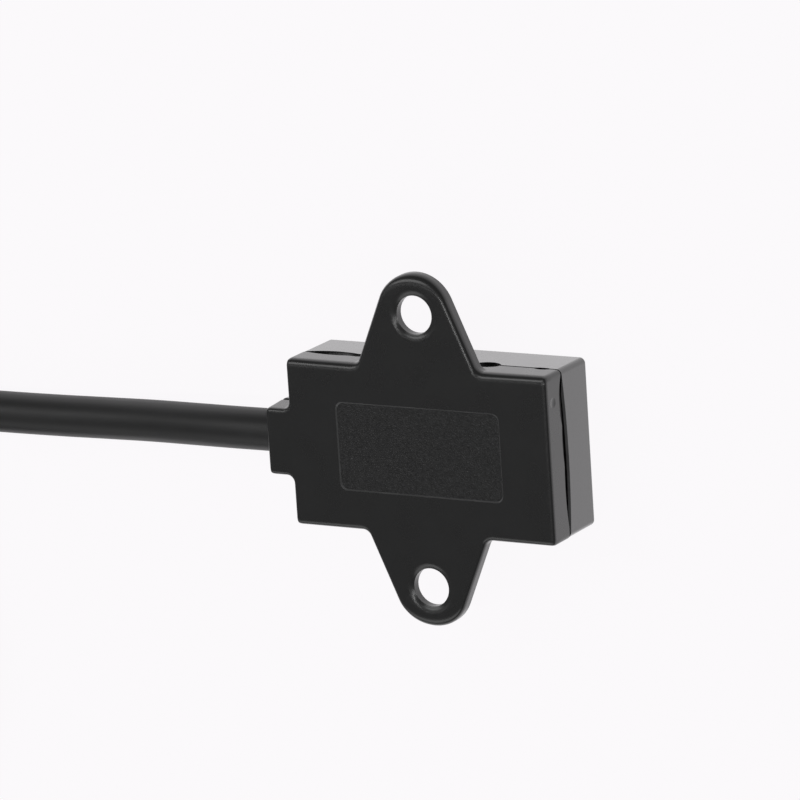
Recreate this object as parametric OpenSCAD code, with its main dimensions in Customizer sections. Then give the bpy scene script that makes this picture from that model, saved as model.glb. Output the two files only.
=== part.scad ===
// Capacitive level sensor with two mounting ears and a moulded-in cable.
//
// The sensor lies on its sensing face: z = 0 is the flat face that is pressed
// against the tank wall, +Z points out of the front cover, +Y runs along the
// two ears and the cable leaves towards -X. All lengths are millimetres.

/* [Housing] */
// Width of the housing, along the cable's direction
body_w = 30; // [26:0.5:40]
// Height of the housing, between the two ears
body_h = 17.5; // [15.5:0.5:24]
// Depth from the sensing face to the front face
body_d = 8.8; // [8.6:0.1:12]
// Thickness of the side walls
wall_t = 1.5; // [1.3:0.1:1.9]
// Thickness of the front wall
front_t = 1.3; // [0.8:0.1:1.35]
// Thickness of the sensing wall
sense_t = 1; // [0.8:0.1:1.2]
// Corner radius of the housing and the boss, seen from the front
corner_r = 0.6; // [0.55:0.05:1]
// Rounding of the front edge
edge_r = 0.5; // [0.2:0.05:0.55]
// Rounding of the edge round the sensing face
rear_edge_r = 0.35; // [0.1:0.05:0.5]

/* [Joint between the halves] */
// Height of the rear housing's rim above the sensing face
split_z = 5.3; // [5.1:0.1:5.6]
// Glue gap between the rim and the front cover
joint_gap = 0.25; // [0.15:0.05:0.4]
// Depth of the open groove outside the glue
glue_recess = 0.3; // [0.1:0.05:0.4]
// Thickness of the cover's locating lip
lip_t = 0.6; // [0.4:0.05:0.7]
// Length of the locating lip below the cover
lip_l = 1.2; // [0.8:0.1:1.6]
// Clearance round the locating lip
lip_clear = 0.1; // [0.05:0.01:0.15]

/* [Mounting ears] */
// Distance between the two screw holes
hole_spacing = 28.4; // [27:0.1:34]
// Diameter of the screw holes
hole_d = 4; // [3:0.1:4.4]
// Thickness of the ears
ear_t = 1.1; // [0.9:0.05:1.8]
// Radius of the ear tips
ear_tip_r = 4.3; // [3.8:0.05:5]
// Lean of an ear's flank from the upright
ear_lean = 23; // [16:0.5:28]
// Sideways offset of the ears from the middle of the housing
ear_shift = 0.35; // [-1:0.05:1]
// Fillet where an ear's flank runs into the housing
ear_root_r = 1; // [0.6:0.1:1.5]
// Diameter of the shallow relief round a screw hole
relief_d = 5.4; // [4.8:0.1:6.4]
// Depth of that relief
relief_depth = 0.25; // [0.1:0.05:0.4]

/* [Nameplate recess] */
// Width of the shallow recess in the front face
plate_w = 18.9; // [14:0.1:22]
// Height of the recess
plate_h = 9.3; // [6:0.1:12]
// Corner radius of the recess
plate_r = 0.8; // [0.4:0.1:1.5]
// Depth of the recess
plate_depth = 0.12; // [0.05:0.01:0.2]

/* [Cable boss] */
// How far the boss stands out of the left side
boss_l = 2.6; // [2:0.1:4]
// Height of the boss at the front face
boss_h = 6.8; // [6.4:0.1:8]
// Draft of the boss's two sides
boss_draft = 3.5; // [1:0.5:5]
// Fillet where the boss runs into the housing
boss_root_r = 0.8; // [0.6:0.1:1.2]
// Glue gap under the front half of the boss
boss_gap = 0.6; // [0.3:0.05:0.8]
// Diameter of the glue pocket inside the boss
pocket_d = 5.8; // [5.2:0.1:6.2]
// Length of that pocket
pocket_l = 1.8; // [1:0.1:2.4]

/* [Cable] */
// Outer diameter of the cable
cable_d = 4.4; // [4:0.1:4.6]
// Radial clearance of the cable in the boss
cable_clear = 0.05; // [0.02:0.01:0.1]
// How far the jacket reaches in past the inner wall
jacket_in = 2.6; // [2.2:0.1:3]
// Wall of the ring that stops the cable pulling out
ring_t = 0.25; // [0.15:0.05:0.28]
// Length of that ring
ring_l = 1.8; // [1:0.1:2.1]
// Clearance round the ring, to the front wall and to the board
ring_gap = 0.05; // [0.05:0.01:0.2]
// Diameter of one insulated core
core_d = 1; // [0.8:0.05:1.05]
// Diameter of a core's stranded conductor
wire_d = 0.5; // [0.3:0.05:0.6]

/* [Circuit board] */
// Thickness of the board
board_t = 1; // [0.8:0.1:1.2]
// Gap between the board's edge and the housing wall
board_gap = 0.4; // [0.2:0.05:0.8]
// Thickness of the adhesive tape under the electrode
tape_t = 0.15; // [0.1:0.01:0.2]
// Thickness of the etched copper
copper_t = 0.07; // [0.035:0.005:0.1]
// Width of the sensing electrode
electrode_w = 16; // [12:0.5:18.5]
// Height of the sensing electrode
electrode_h = 8.4; // [6:0.2:8.8]
// Gap between the electrode and its guard ring
guard_gap = 0.6; // [0.3:0.05:0.8]
// Width of the guard ring's track
guard_w = 0.9; // [0.5:0.05:1]
// Diameter of the two locating pins
pin_d = 1.6; // [1.2:0.1:1.8]
// Spacing of the wire pads on the board
pad_pitch = 2.4; // [2.1:0.1:2.6]
// Diameter of a solder joint
solder_d = 1.8; // [1.4:0.1:2]

/* [Cable end] */
// Diameter of the shrink sleeve
sleeve_d = 5.2; // [5:0.1:6]
// Length of the shrink sleeve
sleeve_l = 8; // [7:0.5:9]
// How far the jacket reaches into the sleeve
sleeve_grip = 5; // [4:0.5:6]
// Thickness of the tape that holds the coil
tie_t = 0.25; // [0.15:0.05:0.4]
// Pitch of the connector's ways
way_pitch = 2; // [1.9:0.05:2.2]
// Length of the connector housing
plug_l = 8; // [7:0.5:9]
// Height of the connector housing
plug_h = 4.4; // [4:0.1:5]
// Side of a connector way
way_w = 1.5; // [1.4:0.05:1.6]

/* [Hidden] */
$fn = 48;

// Levels, from the sensing face up
copper_z = sense_t + tape_t;
board_z = copper_z + copper_t;
board_top = board_z + board_t;
cover_z = split_z + joint_gap;
ear_z = body_d - ear_t;
ceiling_z = body_d - front_t;
lip_z = cover_z - lip_l;

// Widths inside the housing
cavity_w = body_w - 2 * wall_t;
cavity_h = body_h - 2 * wall_t;
lip_out = lip_t;
rebate_out = lip_t + lip_clear;
board_w = cavity_w - 2 * board_gap;
board_h = cavity_h - 2 * board_gap;

// The ears, from their tip circle and the lean of their flanks
ear_rise = (hole_spacing - body_h) / 2;
ear_root = (ear_tip_r + ear_rise * sin(ear_lean)) / cos(ear_lean);
ear_apex = hole_spacing / 2 + ear_tip_r / sin(ear_lean);

// The cable's passage through the boss, as high as the ring inside allows
cable_z = ceiling_z - cable_d / 2 - ring_t - ring_gap;
boss_end = -body_w / 2 - boss_l;
inner_wall = -body_w / 2 + wall_t;
passage_d = cable_d + 2 * cable_clear;
jacket_end = inner_wall + jacket_in;
pocket_x = (boss_end + inner_wall) / 2;

// Number of steps in a rounded edge and in the arcs seen from the front
EDGE_STEPS = 5;
CORNER_STEPS = 5;
TIP_STEPS = 26;
// Small overlap that joins solids, and the overshoot of a cut
JOIN = 0.3;
OVER = 1;
PLASTIC = "#2b2b2d";

// Half height of the boss at level z: it widens away from the front face
function boss_half(z) = boss_h / 2 + (body_d - z) * tan(boss_draft);

// Corner lists: [x, y, radius, steps], anticlockwise seen from the front
function body_side_corners(z) = [
    [-body_w / 2, body_h / 2, corner_r, CORNER_STEPS],
    [-body_w / 2, boss_half(z), boss_root_r, CORNER_STEPS],
    [boss_end, boss_half(z), corner_r, CORNER_STEPS],
    [boss_end, -boss_half(z), corner_r, CORNER_STEPS],
    [-body_w / 2, -boss_half(z), boss_root_r, CORNER_STEPS],
    [-body_w / 2, -body_h / 2, corner_r, CORNER_STEPS]
];
function right_corners() = [
    [body_w / 2, -body_h / 2, corner_r, CORNER_STEPS],
    [body_w / 2, body_h / 2, corner_r, CORNER_STEPS]
];
// side is -1 for the lower ear and 1 for the upper one
function ear_corners(side) = [
    [ear_shift + side * ear_root, side * body_h / 2, ear_root_r, CORNER_STEPS],
    [ear_shift, side * ear_apex, ear_tip_r, TIP_STEPS],
    [ear_shift - side * ear_root, side * body_h / 2, ear_root_r, CORNER_STEPS]
];
function flange_corners(z) = concat(
    body_side_corners(z), ear_corners(-1), right_corners(), ear_corners(1));
function box_corners(w, h, r) = [
    [-w / 2, -h / 2, r, CORNER_STEPS], [w / 2, -h / 2, r, CORNER_STEPS],
    [w / 2, h / 2, r, CORNER_STEPS], [-w / 2, h / 2, r, CORNER_STEPS]
];

// Unit vector at an angle, and the angle from one point to the next
function aim(a) = [cos(a), sin(a)];
function bearing(p, q) = atan2(q.y - p.y, q.x - p.x);

// Outline with every corner turned into an arc, moved inwards by inset. An
// arc keeps its centre, so outlines at different insets match point by point.
function outline(corners, inset = 0) = [
    for (i = [0 : len(corners) - 1])
        let (
            n = len(corners),
            here = corners[i],
            a_in = bearing(corners[(i + n - 1) % n], here),
            a_out = bearing(here, corners[(i + 1) % n]),
            turn = (a_out - a_in + 900) % 360 - 180,
            bulge = sign(turn) * here[2],
            middle = [here.x, here.y]
                + bulge * (aim(a_in + 90) + aim(a_out + 90)) / (1 + cos(turn))
        )
        for (j = [0 : here[3]])
            middle + (inset - bulge) * aim(a_in + 90 + turn * j / here[3])
];

// Closed solid through a stack of outlines, each given as [z, points]
module loft(rings) {
    n = len(rings[0][1]);
    top = (len(rings) - 1) * n;
    polyhedron(
        points = [for (ring = rings) for (p = ring[1]) [p.x, p.y, ring[0]]],
        faces = concat(
            [[for (i = [0 : n - 1]) i]],
            [[for (i = [n - 1 : -1 : 0]) top + i]],
            [for (k = [0 : len(rings) - 2]) for (i = [0 : n - 1])
                [k * n + i, (k + 1) * n + i, k * n + (i + 1) % n]],
            [for (k = [0 : len(rings) - 2]) for (i = [0 : n - 1])
                [(k + 1) * n + i, (k + 1) * n + (i + 1) % n, k * n + (i + 1) % n]]
        )
    );
}

// Outer solid of the front cover: a flange with the two ears, and the skirt
// that hangs from it. The skirt uses the flange's points without the ears.
// It is a little too deep at both ends, and front_cover() trims it flat.
TRIM = 0.01;
module cover_blank() {
    flange = concat(
        [[ear_z, outline(flange_corners(ear_z))]],
        [for (k = [0 : EDGE_STEPS])
            let (a = 90 * k / EDGE_STEPS, z = body_d + TRIM - edge_r + edge_r * sin(a))
            [z, outline(flange_corners(body_d), edge_r * (1 - cos(a)))]]
    );
    skirt = outline(flange_corners(lip_z));
    n = len(skirt);
    arc = CORNER_STEPS + 1;
    ear_points = 2 * arc + TIP_STEPS + 1;
    ears = [for (first = [6 * arc, 8 * arc + ear_points]) [for (i = [0 : ear_points - 1]) first + i]];
    rim = concat(
        [for (i = [0 : 6 * arc - 1]) i], [ears[0][0]], [for (i = [0 : 2 * arc]) ears[0][ear_points - 1] + i],
        [ears[1][0]], [ears[1][ear_points - 1]]
    );
    // An ear's underside: strips between its two root fillets, then the rest
    undersides = concat(
        [for (ear = ears) for (i = [0 : CORNER_STEPS - 1])
            [ear[i], ear[i + 1], ear[ear_points - 2 - i], ear[ear_points - 1 - i]]],
        [for (ear = ears) [for (i = [CORNER_STEPS : ear_points - 1 - CORNER_STEPS]) ear[i]]]
    );
    m = len(rim);
    top = (len(flange) - 1) * n;
    low = len(flange) * n;
    polyhedron(
        points = concat(
            [for (ring = flange) for (p = ring[1]) [p.x, p.y, ring[0]]],
            [for (i = rim) [skirt[i].x, skirt[i].y, lip_z]]
        ),
        faces = concat(
            [[for (i = [n - 1 : -1 : 0]) top + i]],
            [[for (j = [0 : m - 1]) low + j]],
            undersides,
            [for (k = [0 : len(flange) - 2]) for (i = [0 : n - 1])
                [k * n + i, (k + 1) * n + i, k * n + (i + 1) % n]],
            [for (k = [0 : len(flange) - 2]) for (i = [0 : n - 1])
                [(k + 1) * n + i, (k + 1) * n + (i + 1) % n, k * n + (i + 1) % n]],
            [for (j = [0 : m - 1]) [low + j, rim[j], low + (j + 1) % m]],
            [for (j = [0 : m - 1]) [rim[j], rim[(j + 1) % m], low + (j + 1) % m]]
        )
    );
}

// Tube of n sides that follows a list of points, with square ends
function along(path, i) = let (
    a = path[max(i - 1, 0)], b = path[min(i + 1, len(path) - 1)]) (b - a) / norm(b - a);
module tube(path, d, sides = 12) {
    last = len(path) - 1;
    polyhedron(
        points = [
            for (i = [0 : last])
                let (
                    t = along(path, i),
                    u = cross([0, 0, 1], t) / norm(cross([0, 0, 1], t)),
                    v = cross(t, u)
                )
                for (j = [0 : sides - 1])
                    path[i] + d / 2 * (cos(360 * j / sides) * u + sin(360 * j / sides) * v)
        ],
        faces = concat(
            [[for (j = [0 : sides - 1]) j]],
            [[for (j = [sides - 1 : -1 : 0]) last * sides + j]],
            [for (i = [0 : last - 1]) for (j = [0 : sides - 1])
                [i * sides + j, (i + 1) * sides + j, i * sides + (j + 1) % sides]],
            [for (i = [0 : last - 1]) for (j = [0 : sides - 1])
                [(i + 1) * sides + j, (i + 1) * sides + (j + 1) % sides,
                    i * sides + (j + 1) % sides]]
        )
    );
}

// Points of a cubic curve that leaves a along da and arrives at b along db
function curve(a, da, b, db, steps = 10) = [
    for (k = [0 : steps])
        let (t = k / steps, s = 1 - t)
        s * s * s * a + 3 * s * s * t * (a + da) + 3 * s * t * t * (b - db) + t * t * t * b
];

// Box centred on x and y, from z0 to z1
module block(w, h, z0, z1) translate([-w / 2, -h / 2, z0]) cube([w, h, z1 - z0]);
// Round bar along X, from x0 to x1, on the cable's axis
module bar(d, x0, x1) translate([x0, 0, cable_z]) rotate([0, 90, 0]) cylinder(d = d, h = x1 - x0);
// Upright round bar
module post(d, z0, z1) translate([0, 0, z0]) cylinder(d = d, h = z1 - z0);

// Gaps left by the glue joint: [side, middle, half length, rise, drop].
// Sides 0 and 180 are the ends, 90 and 270 the faces under the ears.
GLUE_GAPS = [
    [90, -11, 3.4, 0.5, 0.7], [90, -8, 3.6, 0.4, 0.35], [90, 3.6, 2.6, 0.5, 0.4],
    [90, 6.7, 1.5, 0.95, 0.8], [90, 12.9, 0.9, 0.3, 0.15],
    [0, 5.6, 2.5, 0.45, 0.5], [0, 1.6, 3.4, 0.3, 0.3], [0, -1.8, 6.2, 0.45, 0.05],
    [270, -8.5, 4.2, 0.35, 0.3], [270, 5.5, 3.2, 0.3, 0.45],
    [180, 6.7, 0.8, 0.25, 0.2], [180, -6.5, 0.9, 0.2, 0.35]
];
GAP_STEPS = 8;
function gap_profile(g) = concat(
    [for (k = [0 : GAP_STEPS]) let (t = 2 * k / GAP_STEPS - 1)
        [g[2] * t, cover_z - 0.01 + g[3] * (1 - t * t)]],
    [for (k = [0 : GAP_STEPS]) let (t = 1 - 2 * k / GAP_STEPS)
        [g[2] * t, split_z + 0.01 - g[4] * (1 - t * t)]]
);
module glue_gaps()
    for (g = GLUE_GAPS) {
        across = g[0] % 180 == 0 ? body_w / 2 : body_h / 2;
        // Along the side, measured so that its place reads as +X or +Y
        place = g[0] == 0 || g[0] == 270 ? g[1] : -g[1];
        rotate([0, 0, g[0]])
            translate([across - glue_recess, place, 0])
                rotate([90, 0, 90])
                    linear_extrude(glue_recess + OVER)
                        polygon(gap_profile(g));
    }

// Everything that the cable needs cut out of the two halves
module cable_passage() {
    bar(passage_d, boss_end - OVER, inner_wall + OVER);
    bar(pocket_d, pocket_x - pocket_l / 2, pocket_x + pocket_l / 2);
}

// Front cover: the face with its two ears, one blended moulding
module front_cover() color(PLASTIC) {
    difference() {
        union() {
            difference() {
                cover_blank();
                block(2 * body_w, 3 * body_h, lip_z - OVER, cover_z);
                block(2 * body_w, 3 * body_h, body_d, body_d + OVER);
            }
            block(cavity_w + 2 * lip_out, cavity_h + 2 * lip_out, lip_z, cover_z + JOIN);
        }
        block(cavity_w, cavity_h, lip_z - OVER, ceiling_z);
        for (side = [-1, 1])
            translate([ear_shift, side * hole_spacing / 2, 0]) {
                post(hole_d, ear_z - OVER, body_d + OVER);
                post(relief_d, body_d - relief_depth, body_d + OVER);
            }
        translate([0, 0, body_d - plate_depth])
            linear_extrude(plate_depth + OVER)
                polygon(outline(box_corners(plate_w, plate_h, plate_r)));
        cable_passage();
        // Room for the cable in the lip, and the wider gap under the boss
        translate([inner_wall - lip_out - OVER, -boss_half(split_z), lip_z - OVER])
            cube([lip_out + 2 * OVER, 2 * boss_half(split_z), cover_z - lip_z + OVER]);
        translate([boss_end - OVER, -boss_half(split_z) - 1.5 * boss_root_r, cover_z - OVER])
            cube([boss_l + glue_recess + OVER, 2 * boss_half(split_z) + 3 * boss_root_r,
                boss_gap - joint_gap + OVER]);
        glue_gaps();
    }
    hold_downs();
}
// Four pegs under the cover that keep the board on its tape
module hold_downs()
    for (x = [-1, 1], y = [-1, 1])
        translate([x * (board_w / 2 - pin_d), y * (board_h / 2 - pin_d * 0.45), 0])
            post(pin_d * 0.8, board_top, ceiling_z + JOIN);

// Rear housing: an open box with the sensing wall as its floor
module rear_housing() color("#252527") {
    difference() {
        union() {
            loft(concat(
                [for (k = [0 : EDGE_STEPS])
                    let (a = 90 * k / EDGE_STEPS)
                    [rear_edge_r * (1 - cos(a)),
                        outline(box_corners(body_w, body_h, corner_r), rear_edge_r * (1 - sin(a)))]],
                [[split_z, outline(box_corners(body_w, body_h, corner_r))]]
            ));
            intersection() {
                collar();
                block(2 * (body_w + boss_l), body_h, 0, split_z);
            }
        }
        block(cavity_w, cavity_h, sense_t, split_z + OVER);
        block(cavity_w + 2 * rebate_out, cavity_h + 2 * rebate_out, lip_z - lip_clear, split_z + OVER);
        cable_passage();
        // The cable is laid in from above, so its channel is open upwards
        translate([boss_end - OVER, -passage_d / 2, cable_z])
            cube([boss_l + wall_t + 2 * OVER, passage_d, split_z - cable_z + OVER]);
        translate([pocket_x - pocket_l / 2, -pocket_d / 2, cable_z])
            cube([pocket_l, pocket_d, split_z - cable_z + OVER]);
        glue_gaps();
    }
    locating_pins();
}
// Half-round rear side of the cable boss, turned about the cable's axis
module collar() {
    r = boss_half(split_z);
    translate([boss_end, 0, cable_z])
        rotate([0, 90, 0])
            rotate_extrude()
                polygon([
                    [0, 0], [r - edge_r, 0],
                    for (a = [15 : 15 : 75]) [r - edge_r + edge_r * sin(a), edge_r * (1 - cos(a))],
                    [r, edge_r], [r, boss_l + wall_t / 2], [0, boss_l + wall_t / 2]
                ]);
}
// Two pins of the rear housing, heat-staked over the board
pin_clear = 0.1;
pin_x = board_w / 2 - pin_d;
pin_y = board_h / 2 - 1.7 * pin_d;
pin_head = 0.4;
module locating_pins()
    for (side = [-1, 1])
        translate([side * pin_x, -side * pin_y, 0]) {
            post(pin_d, sense_t - JOIN, board_top + pin_head / 2);
            post(pin_d * 1.5, board_top, board_top + pin_head);
        }

// Glue bead in the joint, set back from the outside
module seam_adhesive() color("#111112")
    difference() {
        union() {
            translate([0, 0, split_z])
                linear_extrude(joint_gap)
                    polygon(outline(box_corners(body_w, body_h, corner_r), glue_recess));
            translate([boss_end + glue_recess, -boss_half(split_z) + glue_recess, split_z])
                cube([boss_l - glue_recess, 2 * (boss_half(split_z) - glue_recess), boss_gap]);
        }
        block(cavity_w + 2 * rebate_out, cavity_h + 2 * rebate_out, split_z - OVER, cover_z + OVER);
        cable_passage();
        translate([boss_end, -passage_d / 2, cable_z])
            cube([boss_l + wall_t, passage_d, cover_z - cable_z]);
        translate([pocket_x - pocket_l / 2, -pocket_d / 2, cable_z])
            cube([pocket_l, pocket_d, cover_z - cable_z]);
    }

// Sealing compound that fills the pocket round the cable
module entry_sealant() color("#1a1a1c")
    difference() {
        bar(pocket_d, pocket_x - pocket_l / 2, pocket_x + pocket_l / 2);
        bar(cable_d, pocket_x - pocket_l, pocket_x + pocket_l);
    }

// Crimped ring inside the wall: it keeps the cable from being pulled out
module strain_ring() color("#b8b4a8")
    difference() {
        bar(cable_d + 2 * ring_t, inner_wall, inner_wall + ring_l);
        bar(cable_d, inner_wall - OVER, inner_wall + ring_l + OVER);
    }

// Wire pads, in the order brown, white, blue, black
pad_x = jacket_end + 2.2;
function pad_y(i) = (i - 1.5) * pad_pitch;
// Height of the insulation's end above the board
strip_h = 1;
// Place of core i in the cable's section
function core_spot(i) = core_d * 0.88 * aim(135 + 90 * i);

// Board, with a notch that leaves the cable and its ring free
module circuit_board() color("#1f6b45")
    difference() {
        block(board_w, board_h, board_z, board_top);
        pin_holes();
        notch = cable_d / 2 + ring_t + 4 * ring_gap;
        translate([-board_w / 2 - OVER, -notch, board_z - OVER])
            cube([jacket_end + board_w / 2 + 4 * ring_gap + OVER, 2 * notch, board_t + 2 * OVER]);
    }
module pin_holes()
    for (side = [-1, 1])
        translate([side * pin_x, -side * pin_y, 0])
            post(pin_d + 2 * pin_clear, sense_t - OVER, board_top + OVER);

module sensing_electrode() color("#c98a4b")
    block(electrode_w, electrode_h, copper_z, board_z);

module guard_ring() color("#c07f42")
    difference() {
        block(electrode_w + 2 * (guard_gap + guard_w), electrode_h + 2 * (guard_gap + guard_w), copper_z, board_z);
        block(electrode_w + 2 * guard_gap, electrode_h + 2 * guard_gap, copper_z - OVER, board_z + OVER);
        pin_holes();
    }

module electrode_tape() color("#d9d4c4")
    difference() {
        block(electrode_w + 2 * (guard_gap + guard_w), electrode_h + 2 * (guard_gap + guard_w), sense_t, copper_z);
        pin_holes();
    }

// Gull-wing leg that leaves a package at x0 and stands on the board
module leg(x0, width, height, reach = 0.9) {
    t = 0.2;
    translate([x0 - JOIN, -width / 2, height]) cube([reach * 0.4 + JOIN, width, t]);
    translate([x0 + reach * 0.4 - t, -width / 2, 0]) cube([t, width, height + t]);
    translate([x0 + reach * 0.4 - t, -width / 2, 0]) cube([reach * 0.6 + t, width, t]);
}
// Moulded package of a chip, standing clear of the board on its legs
module package(w, h, t) translate([-w / 2, -h / 2, 0.1]) cube([w, h, t]);

// Eight-pin sensing controller
module touch_controller() color("#1c1c1e")
    translate([3, 0, board_top]) {
        package(3.9, 4.9, 1.4);
        for (side = [0, 180], k = [-1.5 : 1 : 1.5])
            rotate([0, 0, side]) translate([0, k * 1.27, 0]) leg(3.9 / 2, 0.4, 0.6);
    }

// Regulator with its cooling tab
module voltage_regulator() color("#202022")
    translate([-3.2, 3.6, board_top]) {
        package(4.5, 2.5, 1.4);
        for (k = [-1 : 1])
            rotate([0, 0, -90]) translate([0, k * 1.5, 0]) leg(2.5 / 2, 0.45, 0.3);
        translate([-0.85, 2.5 / 2 - JOIN, 0]) cube([1.7, 0.9 + JOIN, 0.4]);
    }

// Three-legged output transistor
module output_transistor() color("#222224")
    translate([-3.2, -3.8, board_top]) {
        package(2.9, 1.3, 0.9);
        for (x = [-0.95, 0.95])
            translate([x, 0, 0]) rotate([0, 0, -90]) leg(1.3 / 2, 0.4, 0.3, 0.7);
        rotate([0, 0, 90]) leg(1.3 / 2, 0.4, 0.3, 0.7);
    }

// Two-legged diode against reversed supply
module protection_diode() color("#262628")
    translate([-3.2, -0.4, board_top]) {
        package(2.7, 1.6, 1);
        for (side = [0, 180]) rotate([0, 0, side]) leg(2.7 / 2, 0.6, 0.3, 0.6);
    }

// Ceramic chips stand on the board side by side: [x, y, turn]
CAPACITOR_SPOTS = [[8.2, 3.2, 0], [8.2, 1.5, 0], [8.2, -1.5, 0], [0.4, -4.6, 90], [1.3, 4.6, 0]];
RESISTOR_SPOTS = [[8.2, 4.9, 0], [8.2, -3.2, 0], [3, -4.7, 0], [5.4, -4.7, 0], [4.4, 4.6, 0], [10.8, 0, 90]];
module chips(spots, height)
    for (s = spots)
        translate([s.x, s.y, board_top]) rotate([0, 0, s[2]]) block(1.6, 0.8, 0, height);
module ceramic_capacitors() color("#b79a6f") chips(CAPACITOR_SPOTS, 0.8);
module chip_resistors() color("#2a2a2c") chips(RESISTOR_SPOTS, 0.45);

// Solder cones round the four conductors
module solder_joints() color("#c9ccd0")
    for (i = [0 : 3])
        translate([pad_x, pad_y(i), board_top])
            rotate_extrude()
                polygon([
                    [wire_d / 2, 0], [solder_d / 2, 0], [solder_d / 2 * 0.75, 0.25],
                    [solder_d / 2 * 0.5, 0.5], [wire_d / 2, 0.7]
                ]);

// One insulated core, from the cable's end down to its pad
module core(i) {
    start = [jacket_end, core_spot(i).x, cable_z + core_spot(i).y];
    end = [pad_x, pad_y(i), board_top + strip_h];
    tube(concat([start], curve(start + [0.3, 0, 0], [1.2, 0, 0], end, [0, 0, -0.9], 8)), core_d, 8);
    translate([pad_x, pad_y(i), 0]) post(wire_d, board_top, board_top + strip_h);
}
module core_brown() color("#6b3a1e") core(0);
module core_white() color("#e8e6e0") core(1);
module core_blue() color("#1f4fa3") core(2);
module core_black() color("#161616") core(3);

// Route of the free cable: out of the boss, down to the floor, to the coil
JACKET_ROUTE = [
    [-24, -0.1, 4.75], [-29, -0.3, 4.1], [-35, -0.6, 3.15], [-41, -0.9, 2.5], [-47, -1.1, 2.25],
    [-55, -1.2, 2.2], [-65, -1.2, 2.25], [-77, -1.2, 2.45], [-88, -1.2, 2.45]
];
// Route of the loose end, from the coil's inside down to the sleeve
TAIL_ROUTE = [
    [-71.7, -33.9, 4.6], [-71.8, -32.1, 4.1], [-72.2, -30.4, 3.7], [-72.9, -28.4, 3.2],
    [-73.8, -26.5, 2.9], [-74.7, -25, 2.7], [-75.8, -23.6, 2.6]
];
// Middle of the coil, and the radius through the middle of its three lanes
coil_at = [-88, -27.6];
coil_r = 24.2;
// Heading of the sleeve, and place and heading of the connector
sleeve_turn = 131;
plug_at = [-96.3, -17.8];
plug_turn = 230;

module cable_jacket() color("#1d1d1f")
    tube(concat([[jacket_end, 0, cable_z], [boss_end, 0, cable_z], [boss_end - 2, 0, cable_z - 0.02]],
        JACKET_ROUTE), cable_d);

// Section of the coil: two lanes on the floor and one in the groove on top
function coil_section(grow = 0, floor_z = 0) =
    let (top = tie_t + cable_d * (1 + sin(60)), shoulder = tie_t + cable_d * 0.75, reach = cable_d + grow)
    [
        [coil_r - reach, floor_z], [coil_r + reach, floor_z], [coil_r + reach, shoulder],
        [coil_r + cable_d * 0.4 + grow, top + grow], [coil_r - cable_d * 0.4 - grow, top + grow],
        [coil_r - reach, shoulder]
    ];
TIE_ANGLE = 190;
TIE_SPAN = 18;
module coil_sector(section, span) rotate([0, 0, TIE_ANGLE - span / 2]) rotate_extrude(angle = span) polygon(section);
module at_coil() translate([coil_at.x, coil_at.y, 0]) children();

module cable_coil() color("#1d1d1f")
    at_coil() difference() {
        rotate_extrude($fn = 96) polygon(coil_section());
        // The incoming stretch lies where the first turn leaves its lane
        translate([0, coil_r - 0.05, -OVER]) cube([coil_r * 2, cable_d * 2, cable_d * 4]);
        // The tape runs under the turns
        rotate([0, 0, TIE_ANGLE]) translate([0, -coil_r / 2, -OVER])
            linear_extrude(tie_t + OVER) polygon([[0, coil_r / 2], for (s = [-1, 1])
                2 * coil_r * aim(s * TIE_SPAN / 2) + [0, coil_r / 2]]);
    }

module coil_tie() color("#151516")
    at_coil() difference() {
        coil_sector(coil_section(tie_t), TIE_SPAN);
        coil_sector(coil_section(0, tie_t), TIE_SPAN + 2);
    }

// Frame at the sleeve's start: +X runs along the cable
sleeve_at = TAIL_ROUTE[len(TAIL_ROUTE) - 1];
function sleeve_point(x, y, z) = [
    sleeve_at.x + x * cos(sleeve_turn) - y * sin(sleeve_turn),
    sleeve_at.y + x * sin(sleeve_turn) + y * cos(sleeve_turn), sleeve_d / 2 + z];
function plug_point(x, y, z) = [
    plug_at.x + x * cos(plug_turn) - y * sin(plug_turn),
    plug_at.y + x * sin(plug_turn) + y * cos(plug_turn), z];

module cable_tail() color("#1d1d1f")
    tube(concat(TAIL_ROUTE, [sleeve_point(sleeve_grip, 0, 0)]), cable_d);

module end_sleeve() color("#131314")
    translate([sleeve_at.x, sleeve_at.y, sleeve_d / 2]) rotate([0, 90, sleeve_turn])
        difference() {
            cylinder(d = sleeve_d, h = sleeve_l);
            translate([0, 0, -OVER]) cylinder(d = passage_d, h = sleeve_grip + OVER);
        }

// One lead between the sleeve and its way in the connector
lead_in = 1.6;
module lead(i) {
    spot = 1.2 * core_spot(i);
    across = (i - 1.5) * way_pitch;
    tube(concat(
        [sleeve_point(sleeve_l, spot.x, spot.y)],
        curve(
            sleeve_point(sleeve_l + 0.5, spot.x, spot.y), [6 * cos(sleeve_turn), 6 * sin(sleeve_turn), 0],
            plug_point(0, across, plug_h / 2), [6 * cos(plug_turn), 6 * sin(plug_turn), 0], 10),
        [plug_point(lead_in, across, plug_h / 2)]), core_d, 8);
}
module lead_brown() color("#6b3a1e") lead(0);
module lead_white() color("#e8e6e0") lead(1);
module lead_blue() color("#1f4fa3") lead(2);
module lead_black() color("#161616") lead(3);

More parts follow.
